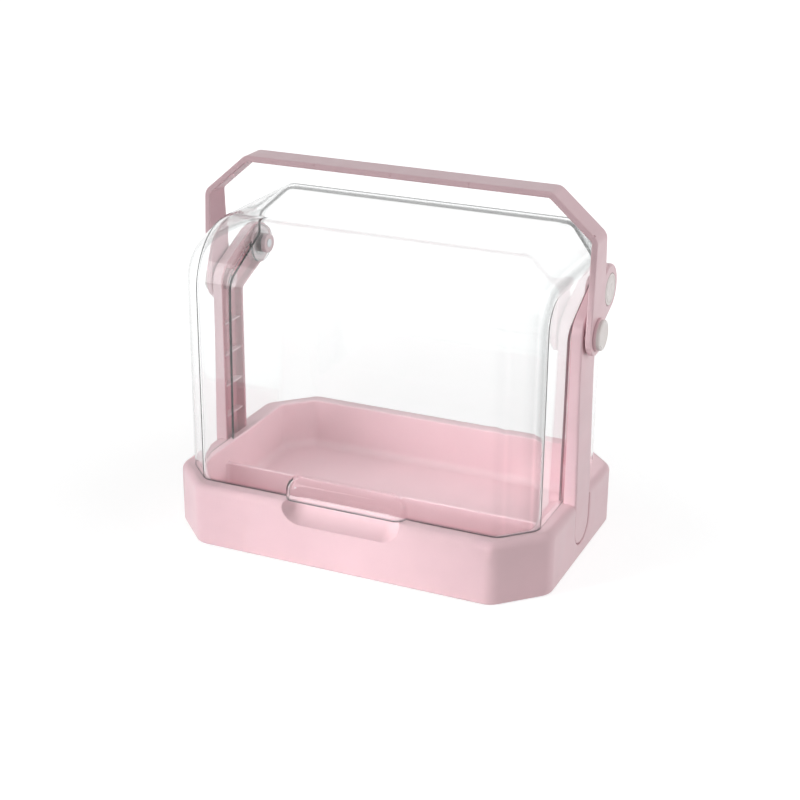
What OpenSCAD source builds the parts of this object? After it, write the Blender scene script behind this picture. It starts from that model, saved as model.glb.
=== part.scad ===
// Dustproof makeup organizer: a tray base, two uprights, a clear lid that swings over a clear rear
// cover, and a bail handle. Millimetres. X is the width, the front faces -Y, and Z is up. The origin
// is on the ground, under the middle of the base.

/* [Base] */
// Width of the base, side to side
base_w = 260; // [210:1:330]
// Depth of the base, front to back
base_d = 175; // [145:1:220]
// Corner cut of the base outline, measured along each side
base_cut = 28.75; // [16:0.25:34]
// Height of the rim that the covers stand on
rim_z = 42; // [36:0.5:55]
// Height of the tray floor
floor_z = 8; // [7.5:0.5:12]
// Wall thickness of the base moulding
base_wall = 2.4; // [2:0.1:3]
// Rounding of the base's upper edge
edge_r = 5; // [2:0.5:6]
// Width of the rim at the left and right
side_rim = 15; // [14.5:0.5:22]
// Width of the rim at the front and back
end_rim = 12.7; // [12.2:0.1:18]
// Corner cut of the tray
tray_cut = 18; // [16:0.5:26]

/* [Tray wall and finger scoop] */
// Distance of the low wall in front of the middle
divider_front = 22; // [0:1:40]
// Height of the low wall's top
divider_z = 29.5; // [18:0.5:36]
// Thickness of the low wall
divider_t = 2.4; // [1.6:0.1:4]
// Width of the finger scoop
scoop_w = 81; // [50:1:110]
// Radius of the finger scoop, which is also its depth below the rim
scoop_r = 13.5; // [9:0.5:16]
// Distance of the scoop's axis in front of the base's face
scoop_out = 2; // [1:0.5:5]

/* [Covers] */
// Distance from the base outline in to the lid
cover_inset = 9.6; // [8.5:0.1:11]
// Corner cut of the lid
cover_cut = 19.7; // [12:0.1:24]
// Wall thickness of the clear covers
cover_t = 2.2; // [1.6:0.1:2.6]
// Height of the lid's roof
roof_z = 210; // [195:1:228]
// Radius of the lid's curved brow
brow_r = 42; // [28:1:46]
// Gap between the lid and the rear cover that it slides over
slide_gap = 0.6; // [0.3:0.1:0.8]
// Height of the lid's hinge axis
pivot_z = 168.5; // [164:0.5:172]
// Distance of the upright part of the seam in front of the middle
seam_front = 10; // [4:0.5:13]
// Distance of the seam's top in front of the lid's hinge axis
seam_back = 9.2; // [7:0.2:12]
// Overlap of the lid on the rear cover
overlap = 3.5; // [2:0.5:5]
// Radius of the lid's ear round its hinge pin
ear_r = 14; // [12:0.5:15]
// Depth of the groove that the rear cover is set in
groove = 1.2; // [0.6:0.1:1.4]

/* [Pull lip] */
// Width of the lid's pull lip
lip_w = 82; // [50:1:110]
// Height of the pull lip
lip_h = 16; // [10:0.5:22]
// Distance that the pull lip stands out
lip_out = 6; // [4:0.5:7]
// Rounding of the pull lip's upper corners
lip_corner = 11; // [6:0.5:12]

/* [Uprights] */
// Depth of the upright's post, front to back
post_d = 28; // [24:1:34]
// Thickness of the upright, side to side
post_t = 7.2; // [6.6:0.2:8]
// Wall thickness of the upright
post_wall = 2.2; // [1.6:0.1:2.6]
// Gap between the lid and the upright
post_gap = 0.6; // [0.4:0.1:1]
// Height of the upright's lower end
foot_z = 10; // [9.5:0.5:14]
// Radius of the round boss at the handle's pivot
boss_r = 19.5; // [17:0.5:22]
// Radius of the neck and head
neck_r = 17.5; // [16:0.5:20]
// Spacing of the cross ribs inside the upright
rib_pitch = 22; // [14:1:30]
// Thickness of the cross ribs
rib_t = 1.4; // [1:0.1:2]

/* [Handle] */
// Height of the top of the handle
handle_top = 240; // [234:1:280]
// Height of the handle's pivot
handle_z = 152; // [148:1:154]
// Thickness of the handle's band
handle_t = 4; // [3:0.2:5]
// Width of the handle's band along the top
handle_d = 19.6; // [14:0.2:24]
// Radius of the round lower end of the arm
arm_r = 11.5; // [10.5:0.5:13]
// Corner cut of the handle, sideways
handle_cut_x = 32; // [20:1:45]
// Corner cut of the handle, upwards
handle_cut_z = 27.9; // [18:0.5:40]
// Gap between the upright and the handle's arm
arm_gap = 1.2; // [0.8:0.1:2]

/* [Pivots] */
// Radius of both pivot shanks
pin_r = 3; // [2.5:0.1:3.4]
// Radial clearance of the pivot shanks
run_gap = 0.05; // [0.03:0.01:0.08]
// Radius of the handle knobs
knob_r = 10; // [8.5:0.5:11]
// Distance that the handle knobs stand out from the arm
knob_t = 4; // [3.4:0.2:5]
// Radius of the flush pivot caps
cap_r = 10.3; // [8.5:0.1:11]
// Radius of the washers
washer_r = 9; // [7:0.5:9.5]
// Radius of the pivot nuts
nut_r = 7; // [5.5:0.5:9]

/* [Underside] */
// Thickness of the bottom plate
plate_t = 2; // [1.6:0.1:2.2]
// Height of the foot pads
pad_t = 1.6; // [1.4:0.1:1.8]
// Radius of the foot pads
pad_r = 9; // [6:0.5:12]
// Radius of the plate screws' shanks
screw_r = 1.5; // [1.2:0.1:1.8]

/* [Hidden] */
$fn = 64;

// Small amounts: a cut's overrun, the fit of set-in pieces, and the axial play of pieces that turn
over = 1;
fit = 0.3;
play = 0.1;
seat = 0.2;

// Base levels
skirt_z = pad_t - 0.6;
plate_z = pad_t + plate_t;
tray_hw = base_w / 2 - side_rim;
tray_hd = base_d / 2 - end_rim;
end_r = scoop_r;
arc_steps = 12;

// Covers, measured from the lid's outer face
lid_hw = base_w / 2 - cover_inset;
lid_hd = base_d / 2 - cover_inset;
rear_inset = cover_t + slide_gap;
rear_hw = lid_hw - rear_inset;
shoulder_r = roof_z - rear_inset - pivot_z;
pivot_y = lid_hd - shoulder_r;
brow_z = roof_z - brow_r;
brow_y = -lid_hd + brow_r;
seam_top_y = pivot_y - seam_back;
lean_low_z = handle_z - 3;
lean_high_z = pivot_z + 7.5;
seam_bend_r = 12;

// Uprights, measured outwards from the middle
post_in = lid_hw + post_gap;
post_out = post_in + post_t;
foot_out = base_w / 2 - 0.4;
foot_r = post_d / 2;
foot_fill_z = foot_z + 18;
screw_head_r = screw_r + 1.4;
screw_head_t = 1.4;
screw_x = base_w / 2 - base_wall - fit - screw_head_r;
foot_screw_y = 6.5;
foot_screw_head_z = foot_z - 3.2;
foot_screw_top_z = foot_z + 13;

// Handle and pivots, measured outwards from the middle
arm_in = post_out + arm_gap;
arm_out = arm_in + handle_t;
head_r = pin_r + 2.5;
head_t = 1.8;
bore_r = pin_r + run_gap;
washer_sink = 0.9;
cap_sink = 1.6;
cap_proud = 0.2;
cap_floor = post_out - cap_sink;
lid_head_x = cap_floor - seat - head_t;
nut_t = 3;
nut_x = rear_hw - cover_t - nut_t;
knob_x = arm_out + seat;
shank_x = post_in + over;

// Places of the plate's screws and of the foot pads
corner_screw_x = base_w / 2 - base_cut / 2 - 4.2;
corner_screw_y = base_d / 2 - base_cut / 2 - 4.2;
boss_post_r = screw_r + 2.7;
plate_screw_top_z = rim_z * 0.45;
pad_x = base_w / 2 - 32;
pad_y = base_d / 2 - 29.5;
plate_screw_places = [
  [corner_screw_x, corner_screw_y], [-corner_screw_x, corner_screw_y],
  [corner_screw_x, -corner_screw_y], [-corner_screw_x, -corner_screw_y],
  [0, tray_hd + (end_rim + base_wall) / 2 - base_wall / 2], [0, -tray_hd - end_rim / 2]
];

pink = [0.93, 0.79, 0.81];
deep_pink = [0.90, 0.72, 0.75];
clear = [0.86, 0.91, 0.93, 0.35];
pale = [0.92, 0.88, 0.87];
steel = [0.72, 0.73, 0.75];
nylon = [0.88, 0.88, 0.86];
rubber = [0.75, 0.72, 0.72];

// Outline with four corners cut: half width, half depth and cut
module cut_corners(hw, hd, cut) {
  polygon([
    [-hw, -hd + cut], [-hw + cut, -hd], [hw - cut, -hd], [hw, -hd + cut],
    [hw, hd - cut], [hw - cut, hd], [-hw + cut, hd], [-hw, hd - cut]
  ]);
}

// Corner cut of an outline that lies this far inside one with a given cut
function inner_cut(cut, inset) = cut - inset * (2 - sqrt(2));

// Extrude a shape drawn as Y and Z along X, from one place to another
module along_x(x0, x1) {
  translate([x0, 0, 0]) rotate([90, 0, 90]) linear_extrude(x1 - x0) children();
}

// Extrude a shape drawn as X and Z along Y, from one place to another
module along_y(y0, y1) {
  translate([0, y1, 0]) rotate([90, 0, 0]) linear_extrude(y1 - y0) children();
}

// Cylinder along X between two places, on an axis at a given Y and Z
module rod_x(x0, x1, y, z, r) {
  translate([x0, y, z]) rotate([0, 90, 0]) cylinder(h = x1 - x0, r = r);
}

// Copy a right-hand piece to the side that is asked for, 1 right or -1 left
module on_side(side) {
  if (side > 0) children();
  else mirror([1, 0, 0]) children();
}

// Points of the arc that rounds the corner p1 of the path p0, p1, p2
function rounded_corner(p0, p1, p2, r) =
  let (
    a = (p0 - p1) / norm(p0 - p1),
    b = (p2 - p1) / norm(p2 - p1),
    half = acos(a * b) / 2,
    reach = r / tan(half),
    middle = p1 + (a + b) / norm(a + b) * r / sin(half),
    start = p1 + a * reach - middle,
    end = p1 + b * reach - middle,
    turn = start[0] * end[1] - start[1] * end[0] > 0 ? 1 : -1
  )
  [for (i = [0:arc_steps])
    let (t = turn * (180 - 2 * half) * i / arc_steps)
    middle + [start[0] * cos(t) - start[1] * sin(t), start[0] * sin(t) + start[1] * cos(t)]];

// Two circles with their outer tangents, drawn exactly
module tapered_capsule(p1, r1, p2, r2) {
  span = norm(p2 - p1);
  heading = atan2(p2[1] - p1[1], p2[0] - p1[0]);
  lean = acos((r1 - r2) / span);
  translate(p1) circle(r = r1);
  translate(p2) circle(r = r2);
  polygon([
    p1 + r1 * [cos(heading + lean), sin(heading + lean)],
    p1 + r1 * [cos(heading - lean), sin(heading - lean)],
    p2 + r2 * [cos(heading - lean), sin(heading - lean)],
    p2 + r2 * [cos(heading + lean), sin(heading + lean)]
  ]);
}

// Solid outer form of the tub, with its upper and lower edges rounded
module tub_form() {
  lower_r = edge_r - 1;
  hull() {
    for (a = [0:22.5:90]) {
      inset = edge_r * (1 - cos(a));
      translate([0, 0, rim_z - edge_r + edge_r * sin(a) - 0.01])
        linear_extrude(0.01)
          cut_corners(base_w / 2 - inset, base_d / 2 - inset, inner_cut(base_cut, inset));
    }
    for (a = [0:30:90]) {
      inset = lower_r * (1 - cos(a));
      translate([0, 0, skirt_z + lower_r - lower_r * sin(a)])
        linear_extrude(0.01)
          cut_corners(base_w / 2 - inset, base_d / 2 - inset, inner_cut(base_cut, inset));
    }
  }
}

// Capsule along X that the finger scoop is cut with
module scoop_form(extra) {
  reach = scoop_w / 2 - scoop_r;
  axis_y = -base_d / 2 - scoop_out;
  rod_x(-reach, reach, axis_y, rim_z, scoop_r + extra);
  for (s = [-1, 1]) translate([s * reach, axis_y, rim_z]) sphere(r = scoop_r + extra);
}

// Side outline of an upright, as Y and Z, drawn in by a wall
module post_outline(inset) {
  foot_centre_z = foot_z + foot_r;
  translate([-foot_r + inset, foot_centre_z])
    square([post_d - 2 * inset, handle_z - foot_centre_z]);
  translate([0, foot_centre_z]) circle(r = foot_r - inset);
  translate([0, handle_z]) circle(r = boss_r - inset);
  tapered_capsule([1.5, handle_z + 4], neck_r + 0.5 - inset, [pivot_y - 2, pivot_z + 1.5], neck_r - inset);
}

// Front profile of an upright, as X and Z, with its outer face drawn in
module post_profile(inner, outer_inset) {
  polygon([
    [inner, foot_z - over], [foot_out - outer_inset, foot_z - over],
    [foot_out - outer_inset, rim_z + 4], [post_out - outer_inset, handle_z - boss_r - 12],
    [post_out - outer_inset, roof_z], [inner, roof_z]
  ]);
}

// Solid form of an upright, before it is hollowed
module post_form() {
  intersection() {
    along_x(post_in, foot_out + over) post_outline(0);
    along_y(-lid_hd, lid_hd) post_profile(post_in, 0);
  }
}

module upright(side) {
  color(pink) on_side(side) difference() {
    union() {
      difference() {
        post_form();
        intersection() {
          along_x(post_in - over, foot_out) post_outline(post_wall);
          along_y(-lid_hd, lid_hd) post_profile(post_in - over, post_wall);
          translate([0, -lid_hd, foot_fill_z]) cube([base_w, 2 * lid_hd, roof_z]);
        }
      }
      intersection() {
        post_form();
        union() {
          for (z = [rim_z + 14:rib_pitch:handle_z - boss_r + 4])
            translate([post_in + 1.5, -foot_r, z]) cube([post_t + 2, post_d, rib_t]);
          rod_x(post_in, foot_out, 0, handle_z, bore_r + 4);
          rod_x(post_in, foot_out, pivot_y, pivot_z, cap_r + 2.4);
        }
      }
    }
    rod_x(post_in - over, foot_out, 0, handle_z, bore_r);
    rod_x(post_in - over, foot_out, pivot_y, pivot_z, bore_r);
    rod_x(post_in - over, post_in + washer_sink, pivot_y, pivot_z, washer_r + fit);
    rod_x(lid_head_x, foot_out, pivot_y, pivot_z, head_r + fit);
    rod_x(cap_floor, foot_out, pivot_y, pivot_z, cap_r + seat);
    for (y = [-foot_screw_y, foot_screw_y])
      translate([screw_x, y, foot_z - over])
        cylinder(h = foot_screw_top_z - foot_z + 2 * over, r = screw_r + run_gap);
  }
}

module base_tub() {
  color(pink) difference() {
    union() {
      difference() {
        tub_form();
        // Hollow under the rim, open downwards
        translate([0, 0, -over]) linear_extrude(rim_z - base_wall + over)
          cut_corners(base_w / 2 - base_wall, base_d / 2 - base_wall, inner_cut(base_cut, base_wall));
      }
      // Walls and floor of the tray
      translate([0, 0, floor_z - base_wall]) linear_extrude(rim_z - base_wall / 2 - floor_z + base_wall)
        cut_corners(tray_hw + base_wall, tray_hd + base_wall, tray_cut + base_wall * (2 - sqrt(2)));
      intersection() {
        tub_form();
        union() {
          // Pockets round the feet of the uprights
          for (s = [-1, 1]) scale([s, 1, 1])
            translate([tray_hw + base_wall / 2, -foot_r - 3, foot_screw_head_z])
              cube([base_w / 2, post_d + 6, rim_z - foot_screw_head_z - base_wall / 2]);
          scoop_form(base_wall);
          for (p = plate_screw_places)
            translate([p[0], p[1], plate_z]) cylinder(h = plate_screw_top_z - plate_z + 2, r = boss_post_r);
        }
      }
    }
    difference() {
      translate([0, 0, floor_z]) linear_extrude(rim_z) cut_corners(tray_hw, tray_hd, tray_cut);
      scoop_form(base_wall);
      translate([-base_w / 2, -divider_front - divider_t / 2, 0]) cube([base_w, divider_t, divider_z]);
    }
    scoop_form(0);
    // Slots for the feet of the uprights, open at the top and the side
    for (s = [-1, 1]) scale([s, 1, 1]) {
      translate([post_in - fit, -foot_r - fit, foot_z + foot_r])
        cube([base_w, post_d + 2 * fit, rim_z]);
      rod_x(post_in - fit, base_w, 0, foot_z + foot_r, foot_r + fit);
      for (y = [-foot_screw_y, foot_screw_y])
        translate([screw_x, y, 0]) cylinder(h = foot_z + foot_r, r = screw_r + run_gap);
    }
    // Groove that the rear cover is set in
    translate([0, 0, rim_z - groove]) linear_extrude(groove + over) difference() {
      rear_plan(-seat, seam_front + overlap + seat);
      rear_plan(cover_t + seat, seam_front + overlap + seat + over);
    }
    for (p = plate_screw_places)
      translate([p[0], p[1], plate_z - over])
        cylinder(h = plate_screw_top_z - plate_z + over, r = screw_r + run_gap);
  }
}

module bottom_plate() {
  color(deep_pink) difference() {
    translate([0, 0, pad_t]) linear_extrude(plate_t)
      cut_corners(base_w / 2 - base_wall - fit, base_d / 2 - base_wall - fit, inner_cut(base_cut, base_wall + fit));
    for (p = plate_screw_places) translate([p[0], p[1], 0]) {
      cylinder(h = plate_z + over, r = screw_r + run_gap);
      cylinder(h = pad_t + plate_t / 2, r = screw_head_r + fit);
    }
  }
}

// Screw that points up, with its head's upper face at z0
module pan_screw(z0, z1, r) {
  translate([0, 0, z0 - screw_head_t]) cylinder(h = screw_head_t, r = screw_head_r);
  translate([0, 0, z0 - 0.01]) cylinder(h = z1 - z0 + 0.01, r = r);
}

module plate_screws() {
  color(steel) for (p = plate_screw_places)
    translate([p[0], p[1], 0]) pan_screw(pad_t + plate_t / 2, plate_screw_top_z - over, screw_r);
}

module foot_screws() {
  color(steel) for (s = [-1, 1], y = [-foot_screw_y, foot_screw_y])
    translate([s * screw_x, y, 0]) pan_screw(foot_screw_head_z, foot_screw_top_z, screw_r);
}

module foot_pad(sx, sy) {
  color(rubber) translate([sx * pad_x, sy * pad_y, 0]) cylinder(h = pad_t, r = pad_r);
}

// Cross-section of a cover: cut corners above a given height, as X and Z
module roof_section(inset, low_z) {
  hw = lid_hw - inset;
  top = roof_z - inset;
  cut = inner_cut(cover_cut, inset);
  polygon([[-hw, low_z], [-hw, top - cut], [-hw + cut, top], [hw - cut, top], [hw, top - cut], [hw, low_z]]);
}

// Half of that cross-section about a cover's bend, as radius and X
module bend_section(inset, r) {
  hw = lid_hw - inset;
  cut = inner_cut(cover_cut, inset);
  polygon([[0, -hw], [r - cut, -hw], [r, -hw + cut], [r, hw - cut], [r - cut, hw], [0, hw]]);
}

// Outer form of the lid, drawn in by an inset, from the front to behind the hinge axis
module lid_form(inset) {
  hw = lid_hw - inset;
  front = -lid_hd + inset;
  cut = inner_cut(cover_cut, inset);
  translate([0, 0, rim_z - (inset > 0 ? over : 0)])
    linear_extrude(brow_z - rim_z + (inset > 0 ? over : 0))
      polygon([[-hw, pivot_y], [-hw, front + cut], [-hw + cut, front], [hw - cut, front], [hw, front + cut], [hw, pivot_y]]);
  along_y(brow_y, pivot_y) roof_section(inset, brow_z - 0.01);
  translate([0, brow_y, brow_z]) rotate([90, 0, -90]) rotate_extrude(angle = 90) bend_section(inset, brow_r - inset);
}

// Plan of the rear cover, drawn in by an inset, from a place in front of the middle
module rear_plan(inset, front) {
  hw = rear_hw - inset;
  back = lid_hd - inset;
  cut = inner_cut(cover_cut, rear_inset + inset);
  polygon([[-hw, -front], [hw, -front], [hw, back - cut], [hw - cut, back], [-hw + cut, back], [-hw, back - cut]]);
}

// Outer form of the rear cover, drawn in by an inset
module rear_form(inset) {
  drop = groove + (inset > 0 ? over : 0);
  total = rear_inset + inset;
  translate([0, 0, rim_z - drop]) linear_extrude(pivot_z - rim_z + drop)
    rear_plan(inset, seam_front + overlap + over);
  along_y(-seam_front - overlap - over, pivot_y) roof_section(total, pivot_z - 0.01);
  translate([0, pivot_y, pivot_z]) rotate([90, 0, 90]) rotate_extrude(angle = 90)
    bend_section(total, shoulder_r - inset);
}

// Seam between the covers, as Y and Z: up the post, back along the neck, and up to the roof
seam_path = concat(
  [[-seam_front, 0]],
  rounded_corner([-seam_front, 0], [-seam_front, lean_low_z], [seam_top_y, lean_high_z], seam_bend_r),
  rounded_corner([-seam_front, lean_low_z], [seam_top_y, lean_high_z], [seam_top_y, roof_z], seam_bend_r / 2),
  [[seam_top_y, roof_z + over]]
);

// Pull lip's outline, as X and Z, drawn in by a wall
module lip_outline(inset) {
  hw = lip_w / 2 - inset;
  r = lip_corner - inset;
  top = rim_z + lip_h - inset;
  translate([-hw, rim_z - over]) square([2 * hw, lip_h - inset - r + over]);
  translate([-hw + r, rim_z - over]) square([2 * (hw - r), lip_h - inset + over]);
  for (s = [-1, 1]) translate([s * (hw - r), top - r]) circle(r = r);
}

// Pull lip's depth, as Y and Z: a quarter of an ellipse below the top, out from the lid's face
module lip_depth(inset, low_z, back) {
  polygon(concat(
    [[back, low_z], [back, rim_z + lip_h - inset]],
    [for (i = [0:arc_steps])
      let (t = 90 * i / arc_steps)
      [-lid_hd - (lip_out - inset) * sin(t), rim_z + (lip_h - inset) * cos(t)]],
    [[-lid_hd - lip_out + inset, low_z]]
  ));
}

module front_lid() {
  color(clear) difference() {
    union() {
      intersection() {
        difference() {
          lid_form(0);
          lid_form(cover_t);
        }
        along_x(-base_w, base_w)
          polygon(concat([[-base_d, 0]], seam_path, [[-base_d, roof_z + over]]));
      }
      for (s = [-1, 1]) scale([s, 1, 1]) rod_x(lid_hw - cover_t, lid_hw, pivot_y, pivot_z, ear_r);
      intersection() {
        along_y(-base_d, -lid_hd + cover_t) lip_outline(0);
        along_x(-base_w, base_w) lip_depth(0, rim_z, -lid_hd + cover_t);
      }
    }
    intersection() {
      along_y(-base_d, -lid_hd + cover_t + over) lip_outline(cover_t);
      along_x(-base_w, base_w) lip_depth(cover_t, rim_z - over, -lid_hd + cover_t + over);
    }
    rod_x(-base_w, base_w, pivot_y, pivot_z, bore_r);
  }
}

module rear_cover() {
  color(clear) difference() {
    intersection() {
      difference() {
        rear_form(0);
        rear_form(cover_t);
      }
      along_x(-base_w, base_w) translate([-overlap, 0])
        polygon(concat(seam_path, [[base_d, roof_z + over], [base_d, 0]]));
    }
    rod_x(-base_w, base_w, pivot_y, pivot_z, bore_r);
  }
}

module lid_pivot_screw(side) {
  color(steel) on_side(side) {
    rod_x(lid_head_x, lid_head_x + head_t, pivot_y, pivot_z, head_r);
    rod_x(nut_x, lid_head_x + 0.01, pivot_y, pivot_z, pin_r);
  }
}

module lid_pivot_nut(side) {
  color(nylon) on_side(side) difference() {
    rod_x(nut_x, nut_x + nut_t, pivot_y, pivot_z, nut_r);
    rod_x(nut_x - over, nut_x + nut_t + over, pivot_y, pivot_z, bore_r);
  }
}

module lid_friction_washer(side) {
  color(nylon) on_side(side) difference() {
    rod_x(lid_hw + play, post_in + washer_sink, pivot_y, pivot_z, washer_r);
    rod_x(lid_hw, post_in + washer_sink + over, pivot_y, pivot_z, bore_r);
  }
}

module pivot_cap(side) {
  color(pale) on_side(side) rod_x(cap_floor, post_out + cap_proud, pivot_y, pivot_z, cap_r);
}

// Band of the handle, as X and Z, drawn in by its thickness
module handle_band(inset) {
  slope = norm([handle_cut_x, handle_cut_z]);
  hw = arm_out - inset;
  top = handle_top - inset;
  side_top = handle_top - handle_cut_z + inset * (handle_cut_z - slope) / handle_cut_x;
  top_hw = arm_out - (handle_cut_z - inset + inset * slope / handle_cut_x) * handle_cut_x / handle_cut_z;
  low_z = handle_z - arm_r - over - (inset > 0 ? over : 0);
  polygon([[-hw, low_z], [-hw, side_top], [-top_hw, top], [top_hw, top], [hw, side_top], [hw, low_z]]);
}

module handle() {
  color(pink) difference() {
    intersection() {
      along_y(-base_d / 2, base_d / 2) difference() {
        handle_band(0);
        handle_band(handle_t);
      }
      along_x(-base_w, base_w) union() {
        tapered_capsule([0, handle_z], arm_r, [0, handle_top - handle_cut_z], handle_d / 2);
        translate([-handle_d / 2, handle_top - handle_cut_z]) square([handle_d, handle_cut_z]);
      }
    }
    rod_x(-base_w, base_w, 0, handle_z, bore_r);
  }
}

module handle_screw(side) {
  color(steel) on_side(side) {
    rod_x(knob_x, knob_x + head_t, 0, handle_z, head_r);
    rod_x(shank_x, knob_x + 0.01, 0, handle_z, pin_r);
  }
}

module handle_washer(side) {
  color(nylon) on_side(side) difference() {
    rod_x(post_out, arm_in - play, 0, handle_z, washer_r);
    rod_x(post_out - over, arm_in, 0, handle_z, bore_r);
  }
}

module handle_knob(side) {
  color(pale) on_side(side) difference() {
    rod_x(knob_x, arm_out + knob_t, 0, handle_z, knob_r);
    rod_x(knob_x - over, knob_x + head_t + seat, 0, handle_z, head_r + fit);
  }
}

base_tub();
bottom_plate();
plate_screws();
foot_screws();
foot_pad(-1, -1);  // foot_pad_front_left
foot_pad(1, -1);  // foot_pad_front_right
foot_pad(-1, 1);  // foot_pad_rear_left
foot_pad(1, 1);  // foot_pad_rear_right
upright(-1);  // upright_left
upright(1);  // upright_right
rear_cover();
front_lid();
lid_pivot_screw(-1);  // lid_pivot_screw_left
lid_pivot_screw(1);  // lid_pivot_screw_right
lid_pivot_nut(-1);  // lid_pivot_nut_left
lid_pivot_nut(1);  // lid_pivot_nut_right
lid_friction_washer(-1);  // lid_friction_washer_left
lid_friction_washer(1);  // lid_friction_washer_right
pivot_cap(-1);  // pivot_cap_left
pivot_cap(1);  // pivot_cap_right
handle();
handle_screw(-1);  // handle_screw_left
handle_screw(1);  // handle_screw_right
handle_washer(-1);  // handle_washer_left
handle_washer(1);  // handle_washer_right
handle_knob(-1);  // handle_knob_left
handle_knob(1);  // handle_knob_right
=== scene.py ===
"""Scene of a dustproof makeup organizer: detailed pieces, finishes, light and camera.

Sizes are in millimetres in the part's own frame: X to the right, -Y to the front, Z up.
Meshes are scaled to metres as they are made.
"""

import logging
import math
from collections.abc import Callable
from dataclasses import dataclass
from enum import Enum

import bmesh
import bpy
import numpy as np
from mathutils import Matrix, Vector
from mathutils.geometry import delaunay_2d_cdt


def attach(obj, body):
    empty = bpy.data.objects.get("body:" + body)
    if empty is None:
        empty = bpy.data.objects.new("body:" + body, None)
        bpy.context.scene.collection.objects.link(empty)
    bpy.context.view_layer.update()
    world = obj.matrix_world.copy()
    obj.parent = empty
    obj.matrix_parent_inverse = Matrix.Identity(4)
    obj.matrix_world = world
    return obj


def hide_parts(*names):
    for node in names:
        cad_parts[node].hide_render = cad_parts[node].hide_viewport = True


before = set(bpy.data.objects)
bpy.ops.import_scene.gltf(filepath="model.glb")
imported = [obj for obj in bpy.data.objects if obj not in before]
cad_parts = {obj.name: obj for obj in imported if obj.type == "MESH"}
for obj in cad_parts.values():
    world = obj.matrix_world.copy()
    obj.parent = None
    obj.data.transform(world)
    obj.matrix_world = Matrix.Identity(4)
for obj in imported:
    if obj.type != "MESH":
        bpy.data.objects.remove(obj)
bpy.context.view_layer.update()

MM = 0.001
# Distances in metres: points closer than the first merge, and edges shorter than the second vanish.
MERGE = 2e-6
SLIVER = 1e-7
# Angle in degrees from which a sheet's edge gets its small rounding.
ROUNDED_FROM = 42
# Range in which most of a noise value lies.
NOISE_LOW = 0.3
NOISE_HIGH = 0.7
# Axes of the two hinges, in millimetres: the lid's, and the handle's over the middle of the base.
LID_Y = 39.2
LID_Z = 168.5
HANDLE_Z = 152.0
log = logging.getLogger("organizer")


class Body(Enum):
    """Bodies of the organizer, by their names in the record."""

    BASE = "base"
    LID = "lid"
    HANDLE = "handle"


class Side(Enum):
    """Side that a paired piece stands on, with its sign along X."""

    LEFT = -1
    RIGHT = 1

    @property
    def word(self) -> str:
        """Name of the side as the nodes spell it."""
        return self.name.lower()


# Meshes


@dataclass
class Skin:
    """Mesh in the making: points in millimetres, faces, a finish index per face and a painted shade per
    point.
    """

    points: np.ndarray
    faces: list
    slots: np.ndarray
    tint: np.ndarray

    def plus(self, *others: "Skin") -> "Skin":
        """Join skins into one.

        Args:
            others: Skins to add after this one.

        Returns:
            One skin with the faces of all of them.
        """
        skins = [self, *others]
        starts = np.cumsum([0] + [len(s.points) for s in skins[:-1]])
        faces = [[n + start for n in face]
                 for s, start in zip(skins, starts.tolist()) for face in s.faces]
        return Skin(
            np.concatenate([s.points for s in skins]),
            faces,
            np.concatenate([s.slots for s in skins]),
            np.concatenate([s.tint for s in skins]),
        )

    def mirrored(self) -> "Skin":
        """Copy for the other side: X changes sign and each face runs the other way."""
        faces = [face[::-1] for face in self.faces]
        return Skin(self.points * (-1.0, 1.0, 1.0), faces, self.slots, self.tint)

    def on(self, side: Side) -> "Skin":
        """Right-hand skin as it is, or mirrored for the left."""
        return self if side is Side.RIGHT else self.mirrored()


def grid_skin(grid: np.ndarray, closed: bool = False, tint: np.ndarray | None = None) -> Skin:
    """Join a grid of points with quads: (i, j), (i, j + 1), (i + 1, j + 1), (i + 1, j).

    Args:
        grid: Points as rows, columns and X, Y, Z.
        closed: True where the last column meets the first.
        tint: Painted shade of each point as rows and columns, or None for none.

    Returns:
        The skin.
    """
    rows, columns = grid.shape[:2]
    i = np.arange(rows - 1)[:, None] * columns
    j = np.arange(columns if closed else columns - 1)[None, :]
    k = (j + 1) % columns
    quads = np.stack([i + j, i + k, i + columns + k, i + columns + j], axis=-1).reshape(-1, 4)
    shade = np.zeros(rows * columns) if tint is None else tint.reshape(-1)
    return Skin(grid.reshape(-1, 3), quads.tolist(), np.zeros(len(quads), int), shade)


def loop_cap(loop: np.ndarray) -> Skin:
    """Close a flat loop of points, given in order, with one face."""
    return Skin(loop, [list(range(len(loop)))], np.zeros(1, int), np.zeros(len(loop)))


def tube_skin(grid: np.ndarray) -> Skin:
    """Rows of closed loops joined with quads, with one face over each end."""
    return grid_skin(grid, closed=True).plus(loop_cap(grid[0]), loop_cap(grid[-1]))


def filled(loop: np.ndarray, inner: np.ndarray) -> tuple[np.ndarray, list]:
    """Fill a flat outline with triangles.

    Args:
        loop: Outline in order, as two coordinates.
        inner: More points inside it, as two coordinates.

    Returns:
        The points as two coordinates, and the triangles.
    """
    places = [Vector(p) for p in np.concatenate([loop, inner]).tolist()]
    found = delaunay_2d_cdt(places, [], [list(range(len(loop)))], 1, 1e-6)
    return np.array([tuple(p) for p in found[0]]), [list(f) for f in found[2]]


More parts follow.
